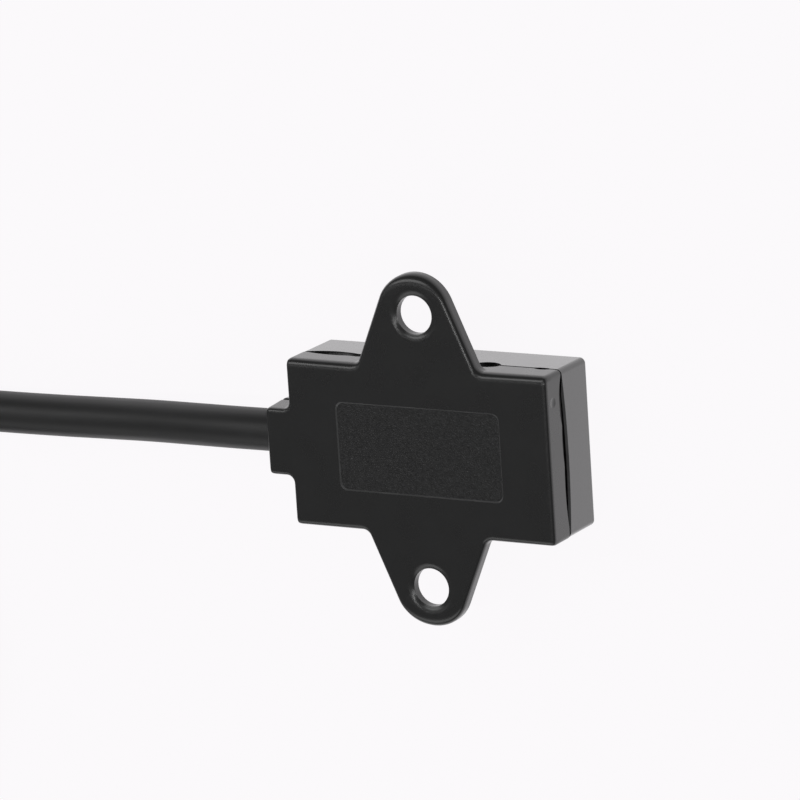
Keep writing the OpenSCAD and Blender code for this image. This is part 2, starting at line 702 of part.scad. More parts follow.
// Four-way connector housing with a latch ridge
module at_plug() translate([plug_at.x, plug_at.y, 0]) rotate([0, 0, plug_turn]) children();
module each_way() for (i = [0 : 3]) translate([0, (i - 1.5) * way_pitch, plug_h / 2]) children();
plug_w = 4 * way_pitch + 2;
module connector_housing() color("#e9e7df")
    at_plug() difference() {
        union() {
            translate([0, -plug_w / 2, 0]) cube([plug_l, plug_w, plug_h]);
            translate([plug_l / 2, -plug_w / 5, plug_h - JOIN]) cube([plug_l / 4, plug_w * 0.4, 0.5 + JOIN]);
            for (side = [-1, 1])
                translate([plug_l / 3, side * plug_w / 2 - 0.3, 0]) cube([plug_l / 2, 0.6, plug_h * 0.6]);
        }
        each_way() translate([-OVER, -way_w / 2, -way_w / 2]) cube([plug_l + 2 * OVER, way_w, way_w]);
    }

// Crimped contacts, each a box spring behind a barrel
module crimp_terminals() color("#cfc9b4")
    at_plug() each_way() {
        side = way_w - 0.1;
        difference() {
            translate([lead_in + 1.4, -side / 2, -side / 2]) cube([plug_l - lead_in - 2, side, side]);
            translate([lead_in + 1.2, -side / 2 + 0.2, -side / 2 + 0.2])
                cube([plug_l, side - 0.4, side - 0.4]);
        }
        translate([lead_in, -side / 2, -side / 2]) cube([1.4 + JOIN, side, 0.2]);
        for (s = [-1, 1])
            translate([lead_in, s * (side / 2 - 0.1) - 0.1, -side / 2]) cube([0.9, 0.2, side * 0.8]);
    }

front_cover();
rear_housing();
seam_adhesive();
entry_sealant();
strain_ring();
circuit_board();
sensing_electrode();
guard_ring();
electrode_tape();
touch_controller();
voltage_regulator();
output_transistor();
protection_diode();
ceramic_capacitors();
chip_resistors();
solder_joints();
core_brown();
core_white();
core_blue();
core_black();
cable_jacket();
cable_coil();
coil_tie();
cable_tail();
end_sleeve();
lead_brown();
lead_white();
lead_blue();
lead_black();
connector_housing();
crimp_terminals();
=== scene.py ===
# %% [markdown]
# # A capacitive level sensor
#
# This lesson dresses a small black level sensor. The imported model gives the
# solids: a two-part plastic housing with two ears, a round cable and all that
# is inside. Blender adds what solids can't show: soft moulded edges, a glue
# joint that isn't perfect, a real lay of cable, and the finish of each piece.
# All lengths in the code are metres, and MM turns a size in millimetres into
# metres.

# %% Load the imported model
import math

import bmesh
import bpy
from mathutils import Matrix, Vector
from mathutils.geometry import interpolate_bezier


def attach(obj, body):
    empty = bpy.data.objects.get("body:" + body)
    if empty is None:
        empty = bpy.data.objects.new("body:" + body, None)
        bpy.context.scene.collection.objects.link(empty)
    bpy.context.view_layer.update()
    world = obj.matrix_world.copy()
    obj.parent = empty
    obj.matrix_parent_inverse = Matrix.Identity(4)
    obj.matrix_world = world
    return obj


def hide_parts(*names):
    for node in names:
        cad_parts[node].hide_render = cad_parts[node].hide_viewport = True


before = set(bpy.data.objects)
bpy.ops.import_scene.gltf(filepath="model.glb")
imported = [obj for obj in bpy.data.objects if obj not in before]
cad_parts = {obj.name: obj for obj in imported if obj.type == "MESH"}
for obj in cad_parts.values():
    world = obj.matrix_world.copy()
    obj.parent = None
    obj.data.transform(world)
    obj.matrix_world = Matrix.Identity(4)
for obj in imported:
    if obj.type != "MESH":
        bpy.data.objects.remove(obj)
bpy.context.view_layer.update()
MM = 0.001

# %% [markdown]
# ## The camera
#
# The sensor was photographed from its front right, with a long lens held at a
# roll, so that the housing leans a little in the picture. A long lens makes
# the edges almost parallel. The camera's three axes are given directly,
# because a roll is hard to reach with a simple look-at constraint.

# %% Place the camera
CAMERA_RIGHT = Vector((0.86896, -0.06330, -0.49081))
CAMERA_UP = Vector((-0.06652, 0.96784, -0.24260))
CAMERA_BACK = Vector((0.49039, 0.24346, 0.83681))
CAMERA_LENS = 266.5
CAMERA_DISTANCE = 603.72 * MM
CAMERA_SLIDE = (-6.196 * MM, 3.143 * MM)

camera_data = bpy.data.cameras.new("photo_camera")
camera_data.lens = CAMERA_LENS
camera_data.sensor_width = 36
camera_data.clip_start = 0.01
camera_data.clip_end = 20
camera = bpy.data.objects.new("photo_camera", camera_data)
bpy.context.scene.collection.objects.link(camera)
bpy.context.scene.camera = camera
camera_place = (
    CAMERA_RIGHT * CAMERA_SLIDE[0] + CAMERA_UP * CAMERA_SLIDE[1] + CAMERA_BACK * CAMERA_DISTANCE
)
turn = Matrix((CAMERA_RIGHT, CAMERA_UP, CAMERA_BACK)).transposed()
camera.matrix_world = Matrix.Translation(camera_place) @ turn.to_4x4()
print("camera at", [round(c, 3) for c in camera_place])

# %% [markdown]
# ## The cable's route
#
# A cable is a fixed length of something springy. It leaves the boss straight,
# sinks to the table in a long soft bend, and runs along it. What the picture
# doesn't show is put away: wound twice and a bit into a flat coil, taped, with
# the plug lying inside. The route is a list of points on one smooth curve, so
# its length and its bends can be checked.

# %% Helpers for routes
def smooth_step(t):
    """Rises softly from 0 to 1 while t goes from 0 to 1."""
    t = min(1.0, max(0.0, t))
    return t * t * (3 - 2 * t)


def route_length(points):
    """Length of a line through points."""
    return sum((b - a).length for a, b in zip(points, points[1:]))


# %% The route in millimetres
CABLE_WIDTH = 4.4
CABLE_EXIT = (-17.6, 0.0, 5.0)
TAPE_LIFT = 0.25
JACKET_ROUTE = [
    (-10.9, 0.0, 5.0), (-14.3, 0.0, 5.0), CABLE_EXIT, (-19.6, 0.0, 4.98),
    (-24.0, -0.1, 4.75), (-29.0, -0.3, 4.1), (-35.0, -0.6, 3.15), (-41.0, -0.9, 2.5),
    (-47.0, -1.1, 2.25), (-55.0, -1.2, 2.2), (-65.0, -1.2, 2.25), (-77.0, -1.2, 2.45),
]
COIL_CENTRE = (-88.0, -27.6)

# %% Wind the coil
LANE_OUT, LANE_IN, LANE_TOP = 26.4, 22.0, 24.2
COIL_START, COIL_END, COIL_STEP = 90, 985, 15
# angles at which the cable changes lanes, climbs and settles, with their runs
GO_IN, GO_TOP, LANE_RUN = 385, 755, 65
CLIMB_AT, CLIMB = 715, 4.42
SETTLE_AT, SETTLE_RUN, SETTLE = 785, 45, 0.52


def round_coil(radius, angle, height):
    """Place at a radius, an angle in degrees and a height about the coil's middle."""
    a = math.radians(angle)
    return (COIL_CENTRE[0] + radius * math.cos(a), COIL_CENTRE[1] + radius * math.sin(a), height)


def coil_point(angle):
    """Middle of the cable at an angle in degrees, counted on through the turns."""
    radius = (
        LANE_OUT
        + (LANE_IN - LANE_OUT) * smooth_step((angle - GO_IN) / LANE_RUN)
        + (LANE_TOP - LANE_IN) * smooth_step((angle - GO_TOP) / LANE_RUN)
    )
    height = (
        CABLE_WIDTH / 2
        + TAPE_LIFT
        + CLIMB * smooth_step((angle - CLIMB_AT) / LANE_RUN)
        - SETTLE * smooth_step((angle - SETTLE_AT) / SETTLE_RUN)
    )
    return round_coil(radius, angle, height)


coil_route = [coil_point(a) for a in range(COIL_START, COIL_END + 1, COIL_STEP)]

# %% Swing the loose end into the ring
TAIL_RADIUS = 17.0
TAIL_FROM, TAIL_SWING, TAIL_STEP = 10, 136, 9
TAIL_Z, RISE, RISE_RUN = 6.55, 0.2, 40
DROP_AT, DROP, DROP_RUN = 58, 4.15, 78


def tail_point(swing):
    """Point on the loose end, swing degrees after it leaves the top lane."""
    a = math.radians(COIL_END)
    outward = Vector((math.cos(a), math.sin(a), 0))
    onward = Vector((-math.sin(a), math.cos(a), 0))
    middle = Vector((*COIL_CENTRE, 0)) + outward * (LANE_TOP - TAIL_RADIUS)
    s = math.radians(swing)
    flat = middle + TAIL_RADIUS * (outward * math.cos(s) + onward * math.sin(s))
    risen = TAIL_Z + RISE * smooth_step(swing / RISE_RUN)
    height = risen - DROP * smooth_step((swing - DROP_AT) / DROP_RUN)
    return (flat.x, flat.y, height)


tail_route = [tail_point(s) for s in range(TAIL_FROM, TAIL_SWING + 1, TAIL_STEP)]
for part, route in (("jacket", JACKET_ROUTE), ("coil", coil_route), ("loose end", tail_route)):
    print(part, round(route_length([Vector(p) for p in route]), 1), "mm")

# %% [markdown]
# ## The cable itself
#
# A curve object is the natural way to make a cable: one line with a round
# profile, and automatic handles that keep it smooth between the points. It
# stands for three solids of the model: the straight stretch, the coil and the
# loose end. The last points reach into the shrink sleeve, so that no cut end
# shows. The finished curve is turned into a mesh, like every other piece, and
# the line it followed is kept, because the cable is measured along it.

# %% Draw wires as curves
def take(piece):
    """Makes one object the only selected one, and the active one."""
    bpy.ops.object.select_all(action="DESELECT")
    piece.select_set(True)
    bpy.context.view_layer.objects.active = piece


def draw_wire(name, route, thickness, rounds=8, fine=6):
    """Round wire through points in millimetres: the mesh and the line it follows."""
    data = bpy.data.curves.new(name, "CURVE")
    data.dimensions = "3D"
    data.resolution_u = fine
    data.bevel_depth = thickness / 2 * MM
    data.bevel_resolution = rounds
    data.use_fill_caps = True
    spline = data.splines.new("BEZIER")
    spline.bezier_points.add(len(route) - 1)
    for knot, place in zip(spline.bezier_points, route):
        knot.co = Vector(place) * MM
        knot.handle_left_type = "AUTO"
        knot.handle_right_type = "AUTO"
    wire = bpy.data.objects.new(name, data)
    bpy.context.scene.collection.objects.link(wire)
    bpy.context.view_layer.update()
    knots = spline.bezier_points
    line = [knots[0].co.copy()]
    for one, two in zip(knots[:-1], knots[1:]):
        line += interpolate_bezier(one.co, one.handle_right, two.handle_left, two.co, fine + 1)[1:]
    take(wire)
    bpy.ops.object.convert(target="MESH")
    print(name, round(route_length(line) / MM, 1), "mm,", len(wire.data.polygons), "faces")
    return wire, line


# %% Draw the cable
SLEEVE_HEADING = math.radians(131)
SLEEVE_GRIP = 5.0
SLEEVE_R = 2.6
sleeve_start = Vector((*tail_point(TAIL_SWING)[:2], SLEEVE_R))
along_sleeve = Vector((math.cos(SLEEVE_HEADING), math.sin(SLEEVE_HEADING), 0))
grip_point = sleeve_start + along_sleeve * SLEEVE_GRIP
cable_route = [*JACKET_ROUTE, *coil_route, *tail_route, grip_point]
cable, cable_line = draw_wire("sensor_cable", cable_route, CABLE_WIDTH)

# %% [markdown]
# ## Ways of working on a mesh
#
# Every hard piece of the housing is shaped the same way: draw or add a simple
# form, push it into shape in edit mode, then cut the openings with boolean
# modifiers. Operators act on what is selected, so a few short helpers clear
# the selection, pick faces or edges by their place, and apply a modifier.

# %% Helpers for modelling
NEAR = 0.002 * MM


def begin():
    """Deselects every object, so that an operator meets only what it adds."""
    bpy.ops.object.select_all(action="DESELECT")


def edit(piece):
    """Opens one piece in edit mode with nothing in it selected."""
    take(piece)
    bpy.ops.object.mode_set(mode="EDIT")
    bpy.ops.mesh.select_all(action="DESELECT")


def pick(kind, wanted):
    """Selects the vertices, edges or faces that pass a test, and counts them."""
    bpy.ops.mesh.select_mode(type=kind)
    shape = bmesh.from_edit_mesh(bpy.context.edit_object.data)
    parts = {"VERT": shape.verts, "EDGE": shape.edges, "FACE": shape.faces}[kind]
    count = 0
    for part in parts:
        chosen = bool(wanted(part))
        part.select_set(chosen)
        count += chosen
    shape.select_flush(kind == "VERT")
    bmesh.update_edit_mesh(bpy.context.edit_object.data)
    return count


def round_edges(wanted, radius, segments):
    """Rounds the edges that pass a test by a radius in millimetres."""
    print("rounding", radius, "mm on", pick("EDGE", wanted), "edges")
    bpy.ops.mesh.bevel(offset=radius * MM, segments=segments, affect="EDGES")


def extrude(x=0.0, y=0.0, z=0.0):
    """Extrudes what is selected by a step in millimetres."""
    step = (x * MM, y * MM, z * MM)
    bpy.ops.mesh.extrude_region_move(TRANSFORM_OT_translate={"value": step})


def pick_all():
    """Selects all of the mesh."""
    bpy.ops.mesh.select_all(action="SELECT")


def face_out():
    """Turns all faces of the mesh outwards."""
    pick_all()
    bpy.ops.mesh.normals_make_consistent(inside=False)


def apply_place():
    """Puts the active object's place, turn and size into its mesh."""
    bpy.ops.object.transform_apply(location=True, rotation=True, scale=True)


def leave(piece):
    """Goes back to object mode and puts the piece's place into its mesh."""
    bpy.ops.object.mode_set(mode="OBJECT")
    take(piece)
    apply_place()


def apply_modifier(piece, kind, **settings):
    """Adds one modifier, sets it and applies it."""
    take(piece)
    modifier = piece.modifiers.new(kind.lower(), kind)
    for key, value in settings.items():
        setattr(modifier, key, value)
    bpy.ops.object.modifier_apply(modifier=modifier.name)


def carve(piece, tool, operation="DIFFERENCE"):
    """Cuts a tool out of a piece, or joins it on, and throws the tool away."""
    apply_modifier(piece, "BOOLEAN", operation=operation, object=tool, solver="MANIFOLD")
    bpy.data.objects.remove(tool)


def place_box(x, y, z, name="box"):
    """Box between pairs of limits in millimetres."""
    begin()
    middle = [sum(pair) / 2 * MM for pair in (x, y, z)]
    bpy.ops.mesh.primitive_cube_add(size=1, location=middle)
    made = bpy.context.object
    made.name = name
    made.scale = [(pair[1] - pair[0]) * MM for pair in (x, y, z)]
    apply_place()
    return made


def place_rod(radius, middle, depth, turn=(0, 0, 0), sides=64):
    """Cylinder with its middle in millimetres; turn is in degrees."""
    begin()
    bpy.ops.mesh.primitive_cylinder_add(
        vertices=sides,
        radius=radius * MM,
        depth=depth * MM,
        location=[c * MM for c in middle],
        rotation=[math.radians(a) for a in turn],
    )
    apply_place()
    return bpy.context.object


def stand_rod(radius, x, y, low, high):
    """Upright cylinder at x, y between two heights in millimetres."""
    return place_rod(radius, (x, y, (low + high) / 2), high - low)


# %% Turn round pieces and lay them in place
def turned(name, stations, sides=40):
    """Round piece along X through stations (x, radius) in millimetres, ends closed."""
    begin()
    bpy.ops.mesh.primitive_circle_add(
        vertices=sides,
        radius=stations[0][1] * MM,
        fill_type="NGON",
        location=(stations[0][0] * MM, 0, 0),
        rotation=(0, math.radians(90), 0),
    )
    made = bpy.context.object
    made.name = name
    apply_place()
    bpy.ops.object.mode_set(mode="EDIT")
    pick_all()
    for (x, radius), (next_x, next_radius) in zip(stations, stations[1:]):
        extrude(x=next_x - x)
        share = next_radius / radius
        bpy.ops.transform.resize(value=(1, share, share), center_override=(next_x * MM, 0, 0))
    face_out()
    leave(made)
    return made


def lay(piece, place, heading=0.0, pitch=0.0):
    """Turns a piece made along X, up by its pitch and to its heading, and moves it."""
    take(piece)
    piece.rotation_euler = (0, -pitch, heading)
    piece.location = Vector(place) * MM
    apply_place()


# %% [markdown]
# ## Drawing an outline
#
# The front of the sensor is one flat outline: a box, two ears with round tips
# and a short boss. On paper a draughtsman would list its corners and give each
# a radius. Here the same list is walked with one vertex: it is extruded along
# each straight run and spun round each corner's centre. The result is exact,
# and it is one clean loop that takes a bevel well.

# %% A pencil for outlines
SAME = 1e-4


def corner_arc(before, corner, after):
    """Start, centre and turn of the arc that rounds a corner."""
    come = math.atan2(corner[1] - before[1], corner[0] - before[0])
    go = math.atan2(after[1] - corner[1], after[0] - corner[0])
    turn = (go - come + math.pi) % (2 * math.pi) - math.pi
    reach = corner[2] * math.tan(abs(turn) / 2)
    start = Vector((corner[0], corner[1])) - reach * Vector((math.cos(come), math.sin(come)))
    side = math.copysign(corner[2], turn)
    centre = start + side * Vector((-math.sin(come), math.cos(come)))
    return start, centre, turn


def draw_outline(name, corners, z):
    """Face drawn anticlockwise through corners [x, y, radius, steps]; no steps, no arc."""
    arcs = [
        (*corner_arc(corners[i - 1], corner, corners[(i + 1) % len(corners)]), corner[3])
        for i, corner in enumerate(corners)
    ]
    begin()
    bpy.ops.mesh.primitive_plane_add(size=MM, location=(0, 0, 0))
    sheet = bpy.context.object
    sheet.name = name
    bpy.ops.object.mode_set(mode="EDIT")
    bpy.ops.mesh.select_mode(type="VERT")
    pick_all()
    bpy.ops.mesh.merge(type="CENTER")
    here = arcs[0][0]
    bpy.ops.transform.translate(value=(here.x * MM, here.y * MM, z * MM))
    for start, centre, turn, steps in arcs:
        if (start - here).length > SAME:
            extrude(start.x - here.x, start.y - here.y)
        here = start
        if steps == 0:
            continue
        bpy.ops.mesh.spin(
            steps=steps,
            angle=-turn,
            center=(centre.x * MM, centre.y * MM, z * MM),
            axis=(0, 0, 1),
        )
        spoke = start - centre
        spoke.rotate(Matrix.Rotation(turn, 2))
        here = centre + spoke
    extrude(arcs[0][0].x - here.x, arcs[0][0].y - here.y)
    pick_all()
    bpy.ops.mesh.remove_doubles(threshold=SAME * MM)
    bpy.ops.mesh.edge_face_add()
    print(name, "outline:", len(bmesh.from_edit_mesh(sheet.data).verts), "points")
    return sheet


# %% [markdown]
# ## The front cover
#
# The cover is one moulding: a plate with two ears, and a skirt that hangs from
# it down to the glue joint and follows the box only. So the face is split at
# the ears' roots, all of it is extruded by the thickness of an ear, and the
# middle is extruded on. Heights are counted from the flat rear face, which is
# pressed against the tank.

# %% Sizes of the housing in millimetres
BODY_W, BODY_H, BODY_D = 30.0, 17.5, 8.8
# underside of the cover's skirt, top of the box, underside of the ears
COVER_Z, SPLIT_Z, EAR_Z = 5.55, 5.3, 7.35
HOLE_X, HOLE_Y, HOLE_R = 0.35, 14.2, 2.0
EAR_X, TIP_R, LEAN = 0.25, 4.2, math.radians(23)
CORNER_R, ROOT_R = 0.6, 1.0
TIP_EDGE, TOP_EDGE, BOTTOM_EDGE, FLANK_EDGE, SIDE_EDGE = 1.3, 0.95, 0.75, 0.62, 0.5
BOSS_L, BOSS_H, BOSS_LOW, BOSS_FILLET = 2.8, 3.4, 3.6, 0.8
BOSS_DRAFT = math.tan(math.radians(3.5))
CABLE_Z = 5.0
WALL, ROOF_T = 1.5, 1.3

ear_root = (TIP_R + (HOLE_Y - BODY_H / 2) * math.sin(LEAN)) / math.cos(LEAN)
ear_apex = HOLE_Y + TIP_R / math.sin(LEAN)
right, top = BODY_W / 2, BODY_H / 2
boss_end = -right - BOSS_L


def ear_corners(side):
    """Root, tip and root of the ear on one side, 1 for the upper one."""
    return [
        (EAR_X + side * ear_root, side * top, ROOT_R, 8),
        (EAR_X, side * ear_apex, TIP_R, 30),
        (EAR_X - side * ear_root, side * top, ROOT_R, 8),
    ]


# %% Draw the face and give it depth
def is_root(vert, side):
    """True for the two points where the ear on one side leaves the box."""
    x, y, _ = vert.co / MM
    return abs(y - side * top) < NEAR / MM and abs(x) < right - ROOT_R


cover_corners = [
    (-right, top, 0, 0),
    (-right, BOSS_H, BOSS_FILLET, 6), (boss_end, BOSS_H, 0, 0),
    (boss_end, -BOSS_LOW, 0, 0), (-right, -BOSS_LOW, BOSS_FILLET, 6),
    (-right, -top, 0, 0), *ear_corners(-1),
    (right, -top, 0, 0), (right, top, 0, 0), *ear_corners(1),
]
cover = draw_outline("moulded_cover", cover_corners, BODY_D)
for side in (-1, 1):
    joined = pick("VERT", lambda vert: is_root(vert, side))
    bpy.ops.mesh.vert_connect()
    print("ear", side, "split between", joined, "points")
pick_all()
extrude(z=EAR_Z - BODY_D)
face_out()


# %% Hang the skirt and open the boss by its draft
def is_underside_of_box(face):
    middle = face.calc_center_median()
    return abs(middle.z - EAR_Z * MM) < NEAR and abs(middle.y) < top * MM


def is_boss_at(vert, height):
    """True for a point of the boss's outline, its fillets too, at a height."""
    x, y, z = vert.co / MM
    low = BOSS_LOW + BOSS_FILLET + NEAR / MM
    return abs(z - height) < NEAR / MM and x < -right + NEAR / MM and abs(y) < low


pick("FACE", is_underside_of_box)
extrude(z=COVER_Z - EAR_Z)
for z in (EAR_Z, COVER_Z):
    pick("VERT", lambda vert: is_boss_at(vert, z))
    wider = 1 + (BODY_D - z) * BOSS_DRAFT / BOSS_H
    bpy.ops.transform.resize(value=(1, wider, 1), center_override=(0, 0, 0))


# %% [markdown]
# The front edge isn't rounded the same all round: the ear tips are the
# softest, the two ends the crispest, and the upright corners have a radius of
# their own. A bevel modifier handles all of it in one go when each edge
# carries a weight, its share of the widest rounding. Round a tip and round a
# root the width changes a little from run to run, because a sudden change
# would drag the new points far along the edge.

# %% Round the front edge and the corners
def is_front_edge(edge):
    if any(abs(v.co.z - BODY_D * MM) > NEAR for v in edge.verts):
        return False
    return any(abs(face.normal.z) < 0.5 for face in edge.link_faces)


def is_upright(edge):
    """True for an edge that stands up, or almost, where two walls meet at a corner."""
    run = edge.verts[1].co - edge.verts[0].co
    return abs(run.z) > 0.9 * run.length and edge.calc_face_angle() > math.radians(60)


# how far a run's middle may lie off the straight or the arc that it belongs to
OFF_LINE, OFF_ARC = 0.02, 0.05


def edge_width(edge):
    """Rounding in millimetres that a run of the front edge gets, from its place."""
    x, y, _ = (edge.verts[0].co + edge.verts[1].co) / (2 * MM)
    wide = TOP_EDGE if y > 0 else BOTTOM_EDGE
    if abs(y) < top + OFF_LINE:
        return SIDE_EDGE if abs(y) < top - OFF_LINE else wide
    spoke = Vector((x - EAR_X, abs(y) - HOLE_Y))
    if abs(spoke.length - TIP_R) < OFF_ARC:
        swing = math.atan2(abs(spoke.x), spoke.y) / (math.pi / 2 - LEAN)
        return round(TIP_EDGE + (FLANK_EDGE - TIP_EDGE) * smooth_step(swing), 3)
    rise = (abs(y) - top) / (ROOT_R * (1 - math.sin(LEAN)))
    return round(wide + (FLANK_EDGE - wide) * min(rise, 1), 3)


def weigh(wanted, width):
    """Gives the picked edges their share of the widest rounding."""
    pick("EDGE", wanted)
    bpy.ops.transform.edge_bevelweight(value=width / TIP_EDGE)


shape = bmesh.from_edit_mesh(cover.data)
widths = sorted({edge_width(edge) for edge in shape.edges if is_front_edge(edge)})
for width in widths:
    weigh(lambda edge: is_front_edge(edge) and edge_width(edge) == width, width)
weigh(is_upright, CORNER_R)
print("front edge from", widths[0], "to", widths[-1], "mm in", len(widths), "widths")
leave(cover)
apply_modifier(
    cover, "BEVEL", width=TIP_EDGE * MM, segments=8, profile=0.6, limit_method="WEIGHT",
    use_clamp_overlap=False,
)
apply_modifier(cover, "TRIANGULATE")

# %% [markdown]
# ## Openings in the cover
#
# Everything that is cut away is cut with a tool of the right shape: a box for
# the cavity, rods for the screw holes and the cable, and a drawn outline with
# sloping sides for the nameplate recess. A tool reaches past the surface it
# cuts, and a piece that is joined on sinks into what carries it, so that no
# two faces lie on each other. A lip is joined on first, because it locates the
# cover in the rear housing, and four pegs hold the board down.

# %% Lip, cavity and pegs
PAST, SINK = 1, 0.3
LIP_Z, LIP_T = 4.35, 0.6
CEILING_Z = BODY_D - ROOF_T
BOARD_TOP = 2.22
PEG_R, PEG_X, PEG_Y = 0.64, 11.5, 6.13
inner_w, inner_h = right - WALL, top - WALL
half_at_joint = BOSS_H + (BODY_D - SPLIT_Z) * BOSS_DRAFT
pocket_x = (boss_end - inner_w) / 2


def core_box(margin, low, high):
    """Box as wide as the cavity, with a margin all round, between two heights."""
    w, h = inner_w + margin, inner_h + margin
    return place_box((-w, w), (-h, h), (low, high))


carve(cover, core_box(LIP_T, LIP_Z, COVER_Z + SINK), "UNION")
carve(cover, core_box(0, LIP_Z - PAST, CEILING_Z))
for x in (-PEG_X, PEG_X):
    for y in (-PEG_Y, PEG_Y):
        carve(cover, stand_rod(PEG_R, x, y, BOARD_TOP, CEILING_Z + SINK), "UNION")

# %% [markdown]
# Each screw hole has a relief in front that rolls over from the face into the
# hole, and a flat, shallow one behind. The rear one keeps the wall of the hole
# short, although the ear is thick at its rim.

# %% Screw holes with their reliefs
# (height over the face, radius) of the front relief's stations
RELIEF = [
    (-0.28, 1.9), (-0.22, 2.08), (-0.15, 2.19), (-0.09, 2.33), (-0.04, 2.51), (0.02, 2.83),
    (0.3, 3.0),
]
BACK_R, BACK_DEPTH = 2.8, 0.35
HOLE_CUT, HOLE_SIDES = 6, 72
for side in (-1, 1):
    place = (HOLE_X, side * HOLE_Y, BODY_D)
    behind = (HOLE_X, side * HOLE_Y, EAR_Z)
    relief_tool = turned("relief_tool", RELIEF, HOLE_SIDES)
    lay(relief_tool, place, pitch=math.radians(90))
    carve(cover, relief_tool)
    carve(cover, place_rod(HOLE_R, place, HOLE_CUT, sides=HOLE_SIDES))
    carve(cover, place_rod(BACK_R, behind, 2 * BACK_DEPTH, sides=HOLE_SIDES))

# %% Nameplate recess
# half width, half height and corner radius at the face
PLATE_W, PLATE_H, PLATE_R = 9.45, 4.65, 0.8
PLATE_DEPTH, PLATE_SLOPE = 0.12, 0.13
floor_w, floor_h = PLATE_W - PLATE_SLOPE, PLATE_H - PLATE_SLOPE
recess_corners = [
    (x * floor_w, y * floor_h, PLATE_R, 8) for x, y in ((-1, -1), (1, -1), (1, 1), (-1, 1))
]
tool = draw_outline("recess_tool", recess_corners, BODY_D - PLATE_DEPTH)
pick_all()
extrude(z=2 * PLATE_DEPTH)
flare = [1 + 2 * PLATE_SLOPE / half for half in (floor_w, floor_h)]
bpy.ops.transform.resize(value=(*flare, 1), center_override=(0, 0, 0))
face_out()
leave(tool)
carve(cover, tool)

# %% Cable passage
BORE_R, BORE_X, BORE_L = 2.25, -16, 7
SEAL_R, SEAL_L = 2.9, 1.8
ALONG_X, ALONG_Y = (0, 90, 0), (90, 0, 0)
PASSAGE_SIDES = 48
# the lip is cut away with a margin on either side of it
LIP_MARGIN = 0.5
# the cover's half of the boss stops short of the box's: how high, how far in
BOSS_GAP, BOSS_GAP_IN, BOSS_GAP_PAST = 0.6, 0.3, 1.2


def cut_passage(piece):
    """Bore for the cable and the wider pocket for the sealing compound."""
    for radius, x, length in ((BORE_R, BORE_X, BORE_L), (SEAL_R, pocket_x, SEAL_L)):
        carve(piece, place_rod(radius, (x, 0, CABLE_Z), length, ALONG_X, PASSAGE_SIDES))


cut_passage(cover)
carve(cover, place_box(
    (-inner_w - LIP_T - LIP_MARGIN, -inner_w + LIP_MARGIN),
    (-half_at_joint, half_at_joint),
    (LIP_Z - PAST, COVER_Z),
))
wide = half_at_joint + BOSS_GAP_PAST
carve(cover, place_box(
    (boss_end - PAST, -right + BOSS_GAP_IN), (-wide, wide), (COVER_Z - PAST, SPLIT_Z + BOSS_GAP)
))

# %% [markdown]
# The real joint was glued by hand, and where glue is missing it gapes. A large
# rod laid against the joint cuts such a lens-shaped gap: into the cover by its
# rise and into the box by its drop.

# %% Gaps in the glue joint
# side in degrees (0 is +X, 90 is +Y), middle, half length, rise, drop
GLUE_GAPS = [
    (90, -11, 3.35, 0.5, 0.7), (90, -7.6, 4.4, 0.45, 0.35), (90, 3.6, 2.6, 0.5, 0.4),
    (90, 6.7, 1.5, 0.95, 0.8), (90, 12.9, 0.9, 0.3, 0.15),
    (0, 5.3, 3.0, 0.62, 0.0), (0, 1.2, 3.6, 0.42, 0.0), (0, -3.4, 4.2, 0.36, 0.0),
    (270, -8.5, 4.2, 0.35, 0.3), (270, 5.5, 3.2, 0.3, 0.45),
    (180, 6.7, 0.8, 0.25, 0.2), (180, -6.5, 0.9, 0.2, 0.35),
]
GAP_DEPTH = 0.3
LENS_T, LENS_CHORDS = 2, 12


def lens_radius(reach, bite):
    """Radius of the rod that cuts a lens of a half length and a depth."""
    return (reach ** 2 + bite ** 2) / (2 * bite)


def cut_gap(piece, side, place, reach, bite, edge_z, up):
    """Cuts one lens into an edge; up is 1 for the cover and -1 for the box below."""
    radius = lens_radius(reach, bite)
    sides = round(math.pi / math.asin(reach / radius) * LENS_CHORDS)
    on_end = side % 180 == 0
    outward = Vector((math.cos(math.radians(side)), math.sin(math.radians(side)), 0))
    middle = outward * ((right if on_end else top) - GAP_DEPTH + LENS_T / 2)
    middle.z = edge_z + up * (bite - radius)
    if on_end:
        middle.y = place
    else:
        middle.x = place
    carve(piece, place_rod(radius, middle, LENS_T, ALONG_X if on_end else ALONG_Y, sides))


for side, place, reach, rise, drop in GLUE_GAPS:
    cut_gap(cover, side, place, reach, rise, COVER_Z, 1)
print("cover after the joint:", len(cover.data.polygons), "faces")

# %% [markdown]
# A shallow dimple in the right wall marks where the plastic was let into the
# mould. After the last cut, points that all but touch are merged, and then
# the shading is made smooth everywhere but at sharp edges.

# %% Gate mark and shading
GATE_R, GATE_Y, GATE_Z, GATE_DEPTH = 2, 5.83, 7.44, 0.08
SLIVER = 0.003
gate_x = right + GATE_R - GATE_DEPTH
begin()
bpy.ops.mesh.primitive_uv_sphere_add(
    segments=96, ring_count=64, radius=GATE_R * MM, location=(gate_x * MM, GATE_Y * MM, GATE_Z * MM)
)
carve(cover, bpy.context.object)


def clean(piece):
    """Merges points that all but touch and clears the slivers left by the cuts."""
    edit(piece)
    pick_all()
    bpy.ops.mesh.remove_doubles(threshold=SLIVER * MM)
    bpy.ops.mesh.dissolve_degenerate(threshold=SLIVER * MM)
    leave(piece)


def finish_shading(piece, degrees=35):
    """Smooth shading that keeps flat faces flat and sharp edges sharp."""
    clean(piece)
    take(piece)
    bpy.ops.object.shade_smooth_by_angle(angle=math.radians(degrees))
    apply_modifier(piece, "WEIGHTED_NORMAL", keep_sharp=True, weight=80)


finish_shading(cover)

